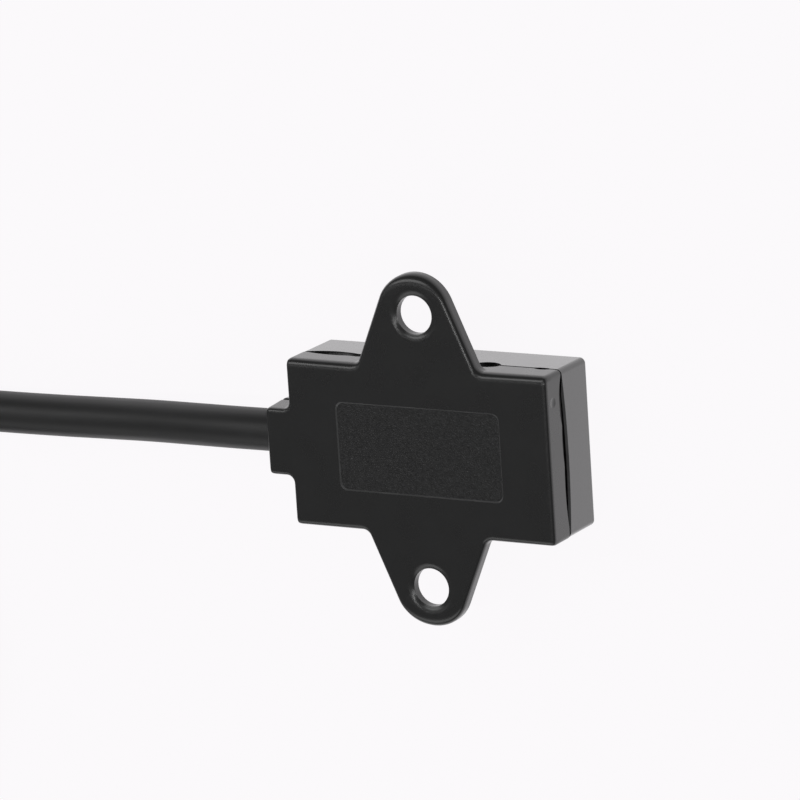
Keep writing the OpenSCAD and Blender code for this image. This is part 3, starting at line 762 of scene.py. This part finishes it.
# %% [markdown]
# ## The rear housing
#
# Behind the joint the housing is a plain box with soft edges, open towards the
# cover. The rear half of the boss is a half-round collar, turned about the
# cable's own axis, and it runs into the left wall. The cable is laid in from
# above, so its channel is open at the top.

# %% Shape the box
REAR_EDGE_R, COLLAR_EDGE, COLLAR_SIDES = 0.35, 0.5, 96
ABOVE_SPLIT = (-30, 0), (-10, 10), (SPLIT_Z, 20)
rear = place_box((-right, right), (-top, top), (0, SPLIT_Z), "moulded_box")
edit(rear)


def is_rear_edge(edge):
    return all(abs(v.co.z) < NEAR for v in edge.verts)


round_edges(is_upright, CORNER_R, 6)
round_edges(is_rear_edge, REAR_EDGE_R, 5)
leave(rear)
apply_modifier(rear, "TRIANGULATE")

# %% Turn the collar
def is_collar_rim(edge):
    return all(vert.co.x < boss_end * MM + NEAR for vert in edge.verts)


collar_in = -right + WALL / 2
collar = place_rod(
    half_at_joint, ((boss_end + collar_in) / 2, 0, CABLE_Z), collar_in - boss_end,
    ALONG_X, COLLAR_SIDES,
)
edit(collar)
round_edges(is_collar_rim, COLLAR_EDGE, 5)
leave(collar)
carve(collar, place_box(*ABOVE_SPLIT))
carve(rear, collar, "UNION")

# %% Hollow it out
SENSE_T, REBATE, REBATE_Z = 1.0, 0.7, 4.25
CUT_TOP = 9
carve(rear, core_box(0, SENSE_T, CUT_TOP))
carve(rear, core_box(REBATE, REBATE_Z, CUT_TOP))
cut_passage(rear)
carve(rear, place_box((boss_end - PAST, PAST - inner_w), (-BORE_R, BORE_R), (CABLE_Z, CUT_TOP)))
pocket = (pocket_x - SEAL_L / 2, pocket_x + SEAL_L / 2)
carve(rear, place_box(pocket, (-SEAL_R, SEAL_R), (CABLE_Z, CUT_TOP)))
for side, place, reach, rise, drop in GLUE_GAPS:
    if drop:
        cut_gap(rear, side, place, reach, drop, SPLIT_Z, -1)

# %% [markdown]
# On the right the rim of the box was filed before the halves were glued. The
# same kind of lens, cut at 45 degrees, makes that long, fading chamfer, and a
# groove behind it keeps the joint dark. Two pins locate the board, and their
# heads are staked down on it.

# %% File the rim and stand the pins
RIM_REACH, RIM_CUT, RIM_Y, RIM_SIDES = 8.4, 0.36, -0.3, 360
GROOVE_X, GROOVE_Y = (right - 0.62, right - 0.2), (-7.9, 7.2)
GROOVE_Z = (SPLIT_Z - 0.6, SPLIT_Z + 0.1)
PIN_R, PIN_X, PIN_Y, PIN_Z = 0.8, 11.5, 4.13, (0.7, 2.52)
HEAD_R, HEAD_T = 1.2, 0.4
rim_radius = lens_radius(RIM_REACH, RIM_CUT)
beyond = (rim_radius - RIM_CUT) * math.sqrt(0.5)
rim_middle = (right + beyond, RIM_Y, SPLIT_Z + beyond)
carve(rear, place_rod(rim_radius, rim_middle, LENS_T, (0, 135, 0), RIM_SIDES))
carve(rear, place_box(GROOVE_X, GROOVE_Y, GROOVE_Z))
for side in (-1, 1):
    pin = (side * PIN_X, -side * PIN_Y)
    carve(rear, stand_rod(PIN_R, *pin, *PIN_Z), "UNION")
    carve(rear, stand_rod(HEAD_R, *pin, BOARD_TOP, BOARD_TOP + HEAD_T), "UNION")
finish_shading(rear)

# %% [markdown]
# ## The cable's end
#
# The jacket ends in a shrink sleeve. From it four leads run to a small plug.
# The sleeve is turned: a circle is extruded and resized, station by station.
# It is tight on the jacket, necks down beyond it and is hollow where the jacket
# goes in. It is made along the X axis and then laid where the cable arrives.

# %% Turn the shrink sleeve
SLEEVE_L = 8.0
# (place along the sleeve, radius): the bore first, then the outside
SLEEVE_STATIONS = [
    (SLEEVE_GRIP, 2.21), (0.0, 2.21), (0.0, 2.4), (0.08, 2.54), (0.25, SLEEVE_R),
    (4.6, SLEEVE_R), (5.1, 2.55), (5.7, 2.38), (6.3, 2.2), (7.0, 2.08), (7.7, 2.04),
    (7.92, 1.96), (SLEEVE_L, 1.8),
]
sleeve = turned("shrink_sleeve_end", SLEEVE_STATIONS)
finish_shading(sleeve, 40)
lay(sleeve, sleeve_start, SLEEVE_HEADING)

# %% Route the four leads
LEADS = ["brown", "white", "blue", "black"]
PLUG_AT, PLUG_HEADING = Vector((-96.3, -17.8, 0)), math.radians(230)
PLUG_H, WAY_PITCH, LEAD_W = 4.4, 2.0, 1.0
CORE_SPREAD, FIRST_CORE = 1.056, 135
# how far a lead reaches into the sleeve and runs straight out of it, how
# strongly its bend is pulled at either end, and how far it reaches into the plug
TUCK_IN, STRAIGHT, PULL, PLUG_IN = 0.6, 0.5, 6, 1.6


def turned_to(heading, x, y, z):
    """Vector x along a heading, y to its left and z up."""
    c, s = math.cos(heading), math.sin(heading)
    return Vector((x * c - y * s, x * s + y * c, z))


def way_place(way):
    """Place of one way of the plug across its width, from the middle."""
    return (way - (len(LEADS) - 1) / 2) * WAY_PITCH


def lead_route(way):
    """Points of one lead, from inside the sleeve to its contact in the plug."""
    a = math.radians(FIRST_CORE + 90 * way)
    spot = (CORE_SPREAD * math.cos(a), CORE_SPREAD * math.sin(a))

    def out(x):
        return sleeve_start + turned_to(SLEEVE_HEADING, SLEEVE_L + x, *spot)

    def into(x):
        return PLUG_AT + turned_to(PLUG_HEADING, x, way_place(way), PLUG_H / 2)

    bend = interpolate_bezier(out(STRAIGHT), out(STRAIGHT + PULL), into(-PULL), into(0), 11)
    return [out(-TUCK_IN), *bend, into(PLUG_IN)]


leads = {}
for way, colour in enumerate(LEADS):
    leads[colour], _ = draw_wire("wire_" + colour, lead_route(way), LEAD_W, 3, 4)

# %% [markdown]
# The plug is a nylon moulding: a block with soft edges, a latch on top, a rail
# on each side, and four square ways with a wider mouth, through which the
# contacts are pushed in. The block is bevelled before the ways are cut, so
# that the mouths stay crisp.

# %% Mould the plug
PLUG_L, PLUG_W, WAY_W = 8.0, 10.0, 1.5
PLUG_EDGE, RAIL_EDGE, LATCH_EDGE = 0.22, 0.1, 0.15
RAIL_X, RAIL_T, RAIL_H = (2.67, 6.67), 0.3, PLUG_H * 0.6
LATCH_X, LATCH_Y, LATCH_Z = (4, 6), (-2, 2), (PLUG_H - SINK, PLUG_H + 0.5)
MOUTH_L, MOUTH_FLARE = 0.35, 1.45
SLOT_X, SLOT_W = (1.2, 2.6), 0.8


def soft_box(x, y, z, radius, name="part"):
    """Box between limits with every edge rounded."""
    made = place_box(x, y, z, name)
    edit(made)
    round_edges(lambda edge: True, radius, 3)
    leave(made)
    return made


plug_y = (-PLUG_W / 2, PLUG_W / 2)
plug = soft_box((0, PLUG_L), plug_y, (0, PLUG_H), PLUG_EDGE, "plug_shell")
apply_modifier(plug, "TRIANGULATE")
for y in plug_y:
    rail = soft_box(RAIL_X, (y - RAIL_T, y + RAIL_T), (0, RAIL_H), RAIL_EDGE)
    carve(plug, rail, "UNION")
carve(plug, soft_box(LATCH_X, LATCH_Y, LATCH_Z, LATCH_EDGE), "UNION")
for way in range(len(LEADS)):
    y, z, h = way_place(way), PLUG_H / 2, WAY_W / 2
    square = ((y - h, y + h), (z - h, z + h))
    carve(plug, place_box((-PAST, PLUG_L + PAST), *square))
    mouth = place_box((PLUG_L - MOUTH_L, PLUG_L + SINK), *square)
    edit(mouth)
    pick("FACE", lambda face: face.normal.x > 0.9)
    bpy.ops.transform.resize(value=(1, MOUTH_FLARE, MOUTH_FLARE))
    leave(mouth)
    carve(plug, mouth)
    # a slot on top lets the contact's spring be reached
    carve(plug, place_box(SLOT_X, (y - SLOT_W / 2, y + SLOT_W / 2), (z, PLUG_H + PAST)))
finish_shading(plug)
lay(plug, PLUG_AT, PLUG_HEADING)

# %% [markdown]
# ## The coil's tie
#
# A turn of black cloth tape holds the coil. Its section follows the three
# cables that lie in it: flat under the two on the floor, and slanting up over
# the third. That section is drawn, then spun through the tape's width about
# the coil's centre and given the tape's thickness.

# %% Wrap the tape
TIE_MIDDLE, TIE_SPAN, TIE_T = 190, 18, 0.25
BAND_POINTS, BAND_STEPS = 72, 8
# an angle at which the third cable lies settled on the other two
SETTLED = 900


def band_section():
    """Points (radius, height) of a line pulled tight round the three cables."""
    low = (LANE_IN, CABLE_WIDTH / 2 + TIE_T), (LANE_OUT, CABLE_WIDTH / 2 + TIE_T)
    middles = [*low, (LANE_TOP, coil_point(SETTLED)[2])]
    for k in range(BAND_POINTS):
        a = math.tau * k / BAND_POINTS
        r, z = max(middles, key=lambda c: c[0] * math.cos(a) + c[1] * math.sin(a))
        yield r + CABLE_WIDTH / 2 * math.cos(a), z + CABLE_WIDTH / 2 * math.sin(a)


begin()
bpy.ops.mesh.primitive_circle_add(vertices=BAND_POINTS, radius=MM)
tie = bpy.context.object
tie.name = "tape_tie"
edit(tie)
shape = bmesh.from_edit_mesh(tie.data)
for vert, (r, z) in zip(shape.verts, band_section()):
    vert.co = Vector(round_coil(r, TIE_MIDDLE - TIE_SPAN / 2, z)) * MM
bmesh.update_edit_mesh(tie.data)
pick_all()
centre = Vector((*COIL_CENTRE, 0)) * MM
bpy.ops.mesh.spin(
    steps=BAND_STEPS, angle=-math.radians(TIE_SPAN), center=centre, axis=(0, 0, 1)
)
face_out()
leave(tie)
apply_modifier(tie, "SOLIDIFY", thickness=TIE_T * MM, offset=1.0)
finish_shading(tie, 50)

# %% Attach the pieces and hide the solids they replace
STANDS_FOR = [
    (cover, "housing_plastic", "front_cover"),
    (rear, "housing_plastic", "rear_housing"),
    (cable, "cable_sheath", "cable_jacket", "cable_coil", "cable_tail"),
    (sleeve, "shrink_sleeve", "end_sleeve"),
    (plug, "plug_nylon", "connector_housing"),
    (tie, "tie_tape", "coil_tie"),
    *[(leads[c], "insulation_" + c, "lead_" + c) for c in LEADS],
]
for piece, slot, *nodes in STANDS_FOR:
    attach(piece, "root")
    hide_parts(*nodes)

# %% [markdown]
# ## Floor and light
#
# The sensor is shown on plain white, with almost no shadow. The camera sees
# the floor as white through Light Path, and so do mirror rays, so that the
# glossy plastic has something bright to reflect. For mirror rays the white
# fades out a few centimetres from the sensor, as a sheet of card would in a
# dim room: that is what keeps the rounded edges dark. A little of the floor's
# ordinary shading is kept, and with it a faint shadow.

# %% Helpers for node trees
def new_material(name):
    """Node material with its tree and its shader."""
    made = bpy.data.materials.new(name)
    made.use_nodes = True
    return made, made.node_tree, made.node_tree.nodes["Principled BSDF"]


def feed(socket, value):
    """Gives an input a value, or links it to another node's output."""
    if isinstance(value, bpy.types.NodeSocket):
        socket.id_data.links.new(value, socket)
    else:
        socket.default_value = value


def dial(node, **values):
    """Feeds the inputs of a node by their names."""
    for key, value in values.items():
        feed(node.inputs[key.replace("_", " ")], value)


def add_node(tree, kind, operation=None, **values):
    """Adds a node and feeds its inputs; operation is what a math node does."""
    node = tree.nodes.new("ShaderNode" + kind)
    if operation:
        node.operation = operation
    dial(node, **values)
    return node


def math_node(tree, operation, *sides):
    """Math node; each side is a number or another node's output."""
    node = add_node(tree, "Math", operation)
    for socket, value in zip(node.inputs, sides):
        feed(socket, value)
    return node.outputs[0]


# %% Floor
FLOOR_SIZE, FLOOR_DROP = 3, 0.02 * MM
CARD_FADE = 55 * MM
SHADOW_SHARE = 0.06
begin()
bpy.ops.mesh.primitive_plane_add(size=FLOOR_SIZE, location=(0, 0, -FLOOR_DROP))
floor = bpy.context.object
floor.name = "floor"
floor_paint, tree, _ = new_material("white_floor")
tree.nodes.clear()
paint = add_node(tree, "BsdfDiffuse", Color=(0.8, 0.8, 0.8, 1))
glow = add_node(tree, "Emission", Color=(1, 0.982, 1, 1))
rays = add_node(tree, "LightPath").outputs
where = add_node(tree, "TexCoord").outputs["Object"]
x, y, _ = add_node(tree, "SeparateXYZ", Vector=where).outputs


def beyond_squared(place, edge):
    """Square of how far a place lies past an edge of the housing."""
    beyond = math_node(tree, "MAXIMUM", math_node(tree, "SUBTRACT", place, edge), 0.0)
    return math_node(tree, "POWER", beyond, 2.0)


# the card reaches on to the left, under the cable, without an end
past_x = beyond_squared(x, right * MM)
past_y = beyond_squared(math_node(tree, "ABSOLUTE", y), top * MM)
far = math_node(tree, "ADD", past_x, past_y)
fade = math_node(tree, "DIVIDE", CARD_FADE ** 2, math_node(tree, "ADD", far, CARD_FADE ** 2))
mirrored = math_node(tree, "MULTIPLY", rays["Is Glossy Ray"], fade)
shown = math_node(tree, "MAXIMUM", rays["Is Camera Ray"], mirrored)
shown = math_node(tree, "MAXIMUM", shown, rays["Is Transmission Ray"])
blend = add_node(tree, "MixShader", Fac=math_node(tree, "MULTIPLY", shown, 1 - SHADOW_SHARE))
feed(blend.inputs[1], paint.outputs[0])
feed(blend.inputs[2], glow.outputs[0])
add_node(tree, "OutputMaterial", Surface=blend.outputs[0])
floor.data.materials.append(floor_paint)

# %% [markdown]
# The world is a dim even grey: it is what the front face mirrors, and that
# face is nearly black in the picture. A long strip above the sensor, weaker on
# the left, draws the thin bright line along its front edge. Two wide soft
# lamps, behind it and in front of it, put the broad sheens on the cable and
# the light bands on the ears. The front face mirrors none of them.

# %% World and lamps
WORLD_GREY = 0.19
world = bpy.data.worlds.new("studio")
world.use_nodes = True
dial(world.node_tree.nodes["Background"], Color=(1, 1, 1, 1), Strength=WORLD_GREY)
bpy.context.scene.world = world


def area_lamp(name, start, end, width, power):
    """Strip lamp from start to end, in metres and watts, that shines on the sensor."""
    start, end = Vector(start), Vector(end)
    data = bpy.data.lights.new(name, "AREA")
    data.shape = "RECTANGLE"
    data.size = (end - start).length
    data.size_y = width
    data.energy = power
    lamp = bpy.data.objects.new(name, data)
    bpy.context.scene.collection.objects.link(lamp)
    back = ((start + end) / 2).normalized()
    run = (end - start).normalized()
    run = (run - back * run.dot(back)).normalized()
    axes = Matrix((run, back.cross(run), back)).transposed()
    lamp.matrix_world = Matrix.Translation((start + end) / 2) @ axes.to_4x4()


area_lamp("strip_left", (-1.0, -0.03, 1.0), (-0.25, -0.01, 1.0), 0.05, 0.2)
area_lamp("strip_right", (-0.25, -0.01, 1.0), (0.7, 0.02, 1.0), 0.06, 1.7)
area_lamp("soft_behind", (-1.1, 0.5, 1.0), (-0.2, 0.5, 1.0), 0.4, 2.45)
area_lamp("soft_front", (-1.2, -1.15, 0.8), (0.4, -1.15, 0.8), 0.6, 2.8)
bpy.context.scene.view_settings.view_transform = "Standard"

# %% [markdown]
# ## Plastics
#
# The housing is black ABS with a satin surface. Seen square on it is nearly
# black, but seen at a low angle it mirrors the white table, which is why the
# side of the housing looks light grey. A clear coat over the base adds the
# second reflection that makes this effect strong enough. Two sizes of noise
# give what a mould gives: a fine spark texture as bump, and a slow, faint
# change of colour and gloss where the melt has cooled unevenly.

# %% A maker for moulded plastics
# how far the roughness of a plastic, and of a metal, wanders
UNEVEN, WORN = 0.04, 0.1


def noise(tree, size, detail=3):
    """Noise on object coordinates with features of a size in millimetres."""
    where = add_node(tree, "TexCoord").outputs["Object"]
    made = add_node(tree, "TexNoise", Vector=where, Scale=1 / (size * MM), Detail=detail)
    return made.outputs["Fac"]


def spread(tree, value, low, high):
    """Maps 0 to 1 onto low to high."""
    span = add_node(tree, "MapRange", Value=value, To_Min=low, To_Max=high)
    return span.outputs["Result"]


def tinted(tree, shader, colour, amount, by):
    """Colours the shader, a little lighter and darker by a noise."""
    light = spread(tree, by, 1 - amount, 1 + amount)
    shade = add_node(tree, "VectorMath", "SCALE", Vector=colour, Scale=light)
    dial(shader, Base_Color=shade.outputs["Vector"])


def relief(tree, shader, height, strength, depth, coat=True):
    """Bump of a depth in millimetres on the shader and its coat."""
    bump = add_node(tree, "Bump", Strength=strength, Distance=depth * MM, Height=height)
    dial(shader, Normal=bump.outputs["Normal"])
    if coat:
        dial(shader, Coat_Normal=bump.outputs["Normal"])


def plastic(
    name, colour, roughness, coat=0.0, coat_roughness=0.2, grain=0.2, grain_size=0.12,
    depth=0.02, cloud=0.1, cloud_size=3
):
    """Moulded plastic: grain is the bump's strength, cloud the unevenness of its colour."""
    made, tree, shader = new_material(name)
    cloudy = noise(tree, cloud_size)
    gloss = spread(tree, cloudy, roughness - UNEVEN, roughness + UNEVEN)
    dial(shader, Coat_Weight=coat, Coat_Roughness=coat_roughness, Roughness=gloss)
    tinted(tree, shader, colour, cloud, cloudy)
    relief(tree, shader, noise(tree, grain_size, 2), grain, depth)
    return made


def metal(name, colour, roughness, scratch=0.3):
    """Metal with fine uneven polish."""
    made, tree, shader = new_material(name)
    worn = noise(tree, 0.5, 6)
    dial(shader, Metallic=1.0, Roughness=spread(tree, worn, roughness - WORN, roughness + WORN))
    tinted(tree, shader, colour, 0.08, worn)
    relief(tree, shader, noise(tree, 0.15, 4), scratch, 0.01, coat=False)
    return made


def dress(node, material):
    """Gives a node of the model, or a piece of this scene, one material."""
    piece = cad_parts[node] if isinstance(node, str) else node
    if not piece.material_slots:
        piece.data.materials.append(material)
    for place in piece.material_slots:
        place.material = material


# %% Dress the housing
dress(cover, plastic("cover_black", (0.0132, 0.0132, 0.0136), 0.28, 0.45, 0.24, grain=0.05))
dress(rear, plastic("box_black", (0.0125, 0.0125, 0.013), 0.24, 1.0, 0.18, grain=0.15))
glue_black = plastic("glue_black", (0.004, 0.004, 0.004), 0.5, grain=0.5, grain_size=0.4)
dress("seam_adhesive", glue_black)
dress("entry_sealant", glue_black)

# %% [markdown]
# The nameplate recess is left as the mould maker's spark machine leaves it, a
# little coarser than the polished face round it. Its low rim is painted a
# lighter grey, a painted highlight that draws a thin lighter line, and the
# filed rim of the box gets the same painted highlight.
# These materials go on by place: the floor is picked by its height, and a rim
# by its slope.

# %% Dress the recess and the rims
recess_black = plastic(
    "recess_black", (0.0122, 0.0122, 0.0126), 0.3, 0.45, 0.24,
    grain=0.7, grain_size=0.16, depth=0.05, cloud=1.6, cloud_size=0.35,
)
# painted highlight: the rims are painted a lighter grey than the housing, in place of the light
# that their edges catch
painted_rim_highlight = plastic("painted_rim_highlight", (0.085, 0.085, 0.086), 0.6, grain=0.5, cloud=0.6)
RECESS_Z = (BODY_D - PLATE_DEPTH) * MM


def is_recess_floor(face):
    return face.normal.z > 0.99 and abs(face.calc_center_median().z - RECESS_Z) < NEAR


def is_recess_rim(face):
    x, y, z = face.calc_center_median() / MM
    inside = abs(x) < PLATE_W + OFF_ARC and abs(y) < PLATE_H + OFF_ARC
    return inside and 0.2 < face.normal.z < 0.9 and z > BODY_D - PLATE_DEPTH


def is_filed_rim(face):
    low = face.calc_center_median().z < REBATE_Z * MM
    return not low and 0.5 < face.normal.x < 0.9 and 0.5 < face.normal.z < 0.9


def paint_faces(piece, paint, wanted):
    """Gives the picked faces of a piece a material of their own."""
    piece.data.materials.append(paint)
    edit(piece)
    print(paint.name, "on", pick("FACE", wanted), "faces of", piece.name)
    piece.active_material_index = len(piece.data.materials) - 1
    bpy.ops.object.material_slot_assign()
    leave(piece)


paint_faces(cover, recess_black, is_recess_floor)
# the recess rim and the box's filed rim carry the painted highlight
paint_faces(cover, painted_rim_highlight, is_recess_rim)
paint_faces(rear, painted_rim_highlight, is_filed_rim)

# %% [markdown]
# ## Cable, tape and leads
#
# The cable's sheath is soft PVC, drawn out of a die: it is duller than the
# housing, has no clear coat, and in place of the spark texture a slow, faint
# waviness. The tape is woven cloth: two waves, one across the other, give its
# threads. They follow the coil, so the pattern is read in polar form round the
# coil's centre.

# %% Dress the cable, its sleeve and its leads
dress(cable, plastic(
    "cable_black", (0.0185, 0.0185, 0.019), 0.46, grain=0.12, grain_size=0.6, cloud=0.15
))
dress(sleeve, plastic(
    "sleeve_black", (0.01, 0.01, 0.01), 0.3, 0.2, grain=0.25, grain_size=1.5, depth=0.06
))
INSULATION = {
    "brown": (0.13, 0.045, 0.018), "white": (0.75, 0.74, 0.7),
    "blue": (0.02, 0.09, 0.42), "black": (0.012, 0.012, 0.012),
}
for colour, paint in INSULATION.items():
    pvc = plastic("pvc_" + colour, paint, 0.35, 0.2, grain=0.15, grain_size=0.5)
    dress(leads[colour], pvc)
    dress("core_" + colour, pvc)


# %% Weave the tape
def cloth_tape(name, colour, thread):
    """Black cloth tape whose threads run round the coil and across it."""
    made, tree, shader = new_material(name)
    where = add_node(tree, "TexCoord").outputs["Object"]
    shift = (-COIL_CENTRE[0] * MM, -COIL_CENTRE[1] * MM, 0)
    centred = add_node(tree, "Mapping", Vector=where, Location=shift).outputs[0]
    x, y, z = add_node(tree, "SeparateXYZ", Vector=centred).outputs
    angle = math_node(tree, "ARCTAN2", y, x)
    squares = [math_node(tree, "POWER", axis, 2.0) for axis in (x, y)]
    radius = math_node(tree, "SQRT", math_node(tree, "ADD", *squares))
    around = math_node(tree, "MULTIPLY", angle, LANE_TOP / thread * math.pi)
    out_and_up = math_node(tree, "ADD", radius, z)
    across = math_node(tree, "MULTIPLY", out_and_up, math.pi / (thread * MM))
    waves = [math_node(tree, "SINE", run) for run in (around, across)]
    weave = math_node(tree, "MULTIPLY", *waves)
    height = spread(tree, math_node(tree, "ABSOLUTE", weave), 0.0, 1.0)
    # the crests of the weave are painted lighter and the gaps darker: the threads' pattern, with
    # painted shade between the threads
    tinted(tree, shader, colour, 0.35, height)
    gloss = spread(tree, noise(tree, 1.5), 0.6, 0.8)
    dial(shader, Sheen_Weight=0.25, Sheen_Roughness=0.4, Roughness=gloss)
    relief(tree, shader, height, 0.6, 0.06, coat=False)
    return made


dress(tie, cloth_tape("tape_cloth", (0.014, 0.014, 0.014), 0.35))

# %% [markdown]
# ## What is inside
#
# The housing is closed, so nobody sees the board, but it is part of the
# sensor and turns up when the model is taken apart. Each piece gets the finish
# it has on a real board: green solder mask, etched copper, epoxy packages,
# fired ceramic, and tin on everything that is soldered.

# %% Dress the inner pieces and the plug
copper_foil = metal("copper_foil", (0.8, 0.38, 0.2), 0.35)
chip_epoxy = plastic("chip_epoxy", (0.02, 0.02, 0.021), 0.5, grain=0.4, grain_size=0.08)
CHIPS = ("touch_controller", "voltage_regulator", "output_transistor", "protection_diode")
INNER_FINISH = {
    **dict.fromkeys(CHIPS, chip_epoxy),
    "circuit_board": plastic(
        "board_green", (0.012, 0.13, 0.05), 0.3, 0.6, 0.15,
        grain=0.3, grain_size=0.35, depth=0.03, cloud=0.2,
    ),
    "sensing_electrode": copper_foil,
    "guard_ring": copper_foil,
    "electrode_tape": plastic("tape_film", (0.62, 0.58, 0.44), 0.45, 0.1, grain_size=0.8),
    "strain_ring": metal("crimped_steel", (0.56, 0.55, 0.53), 0.35),
    "solder_joints": metal("bright_tin", (0.72, 0.73, 0.75), 0.28, 0.6),
    "ceramic_capacitors": plastic("fired_ceramic", (0.42, 0.29, 0.14), 0.4, 0.2, grain_size=0.3),
    "chip_resistors": plastic("glazed_film", (0.015, 0.015, 0.016), 0.2, 0.5, grain_size=0.3),
    "crimp_terminals": metal("tinned_bronze", (0.66, 0.62, 0.52), 0.3),
}
for node, finish in INNER_FINISH.items():
    dress(node, finish)
plug_nylon = plastic(
    "plug_nylon", (0.72, 0.69, 0.6), 0.42, 0.1, 0.3, grain_size=0.1, depth=0.015, cloud=0.05
)
dial(
    plug_nylon.node_tree.nodes["Principled BSDF"],
    Subsurface_Weight=0.15, Subsurface_Radius=(0.001, 0.001, 0.0008),
)
dress(plug, plug_nylon)
print(len(bpy.data.materials), "materials")

# %% Finish
bpy.context.view_layer.update()
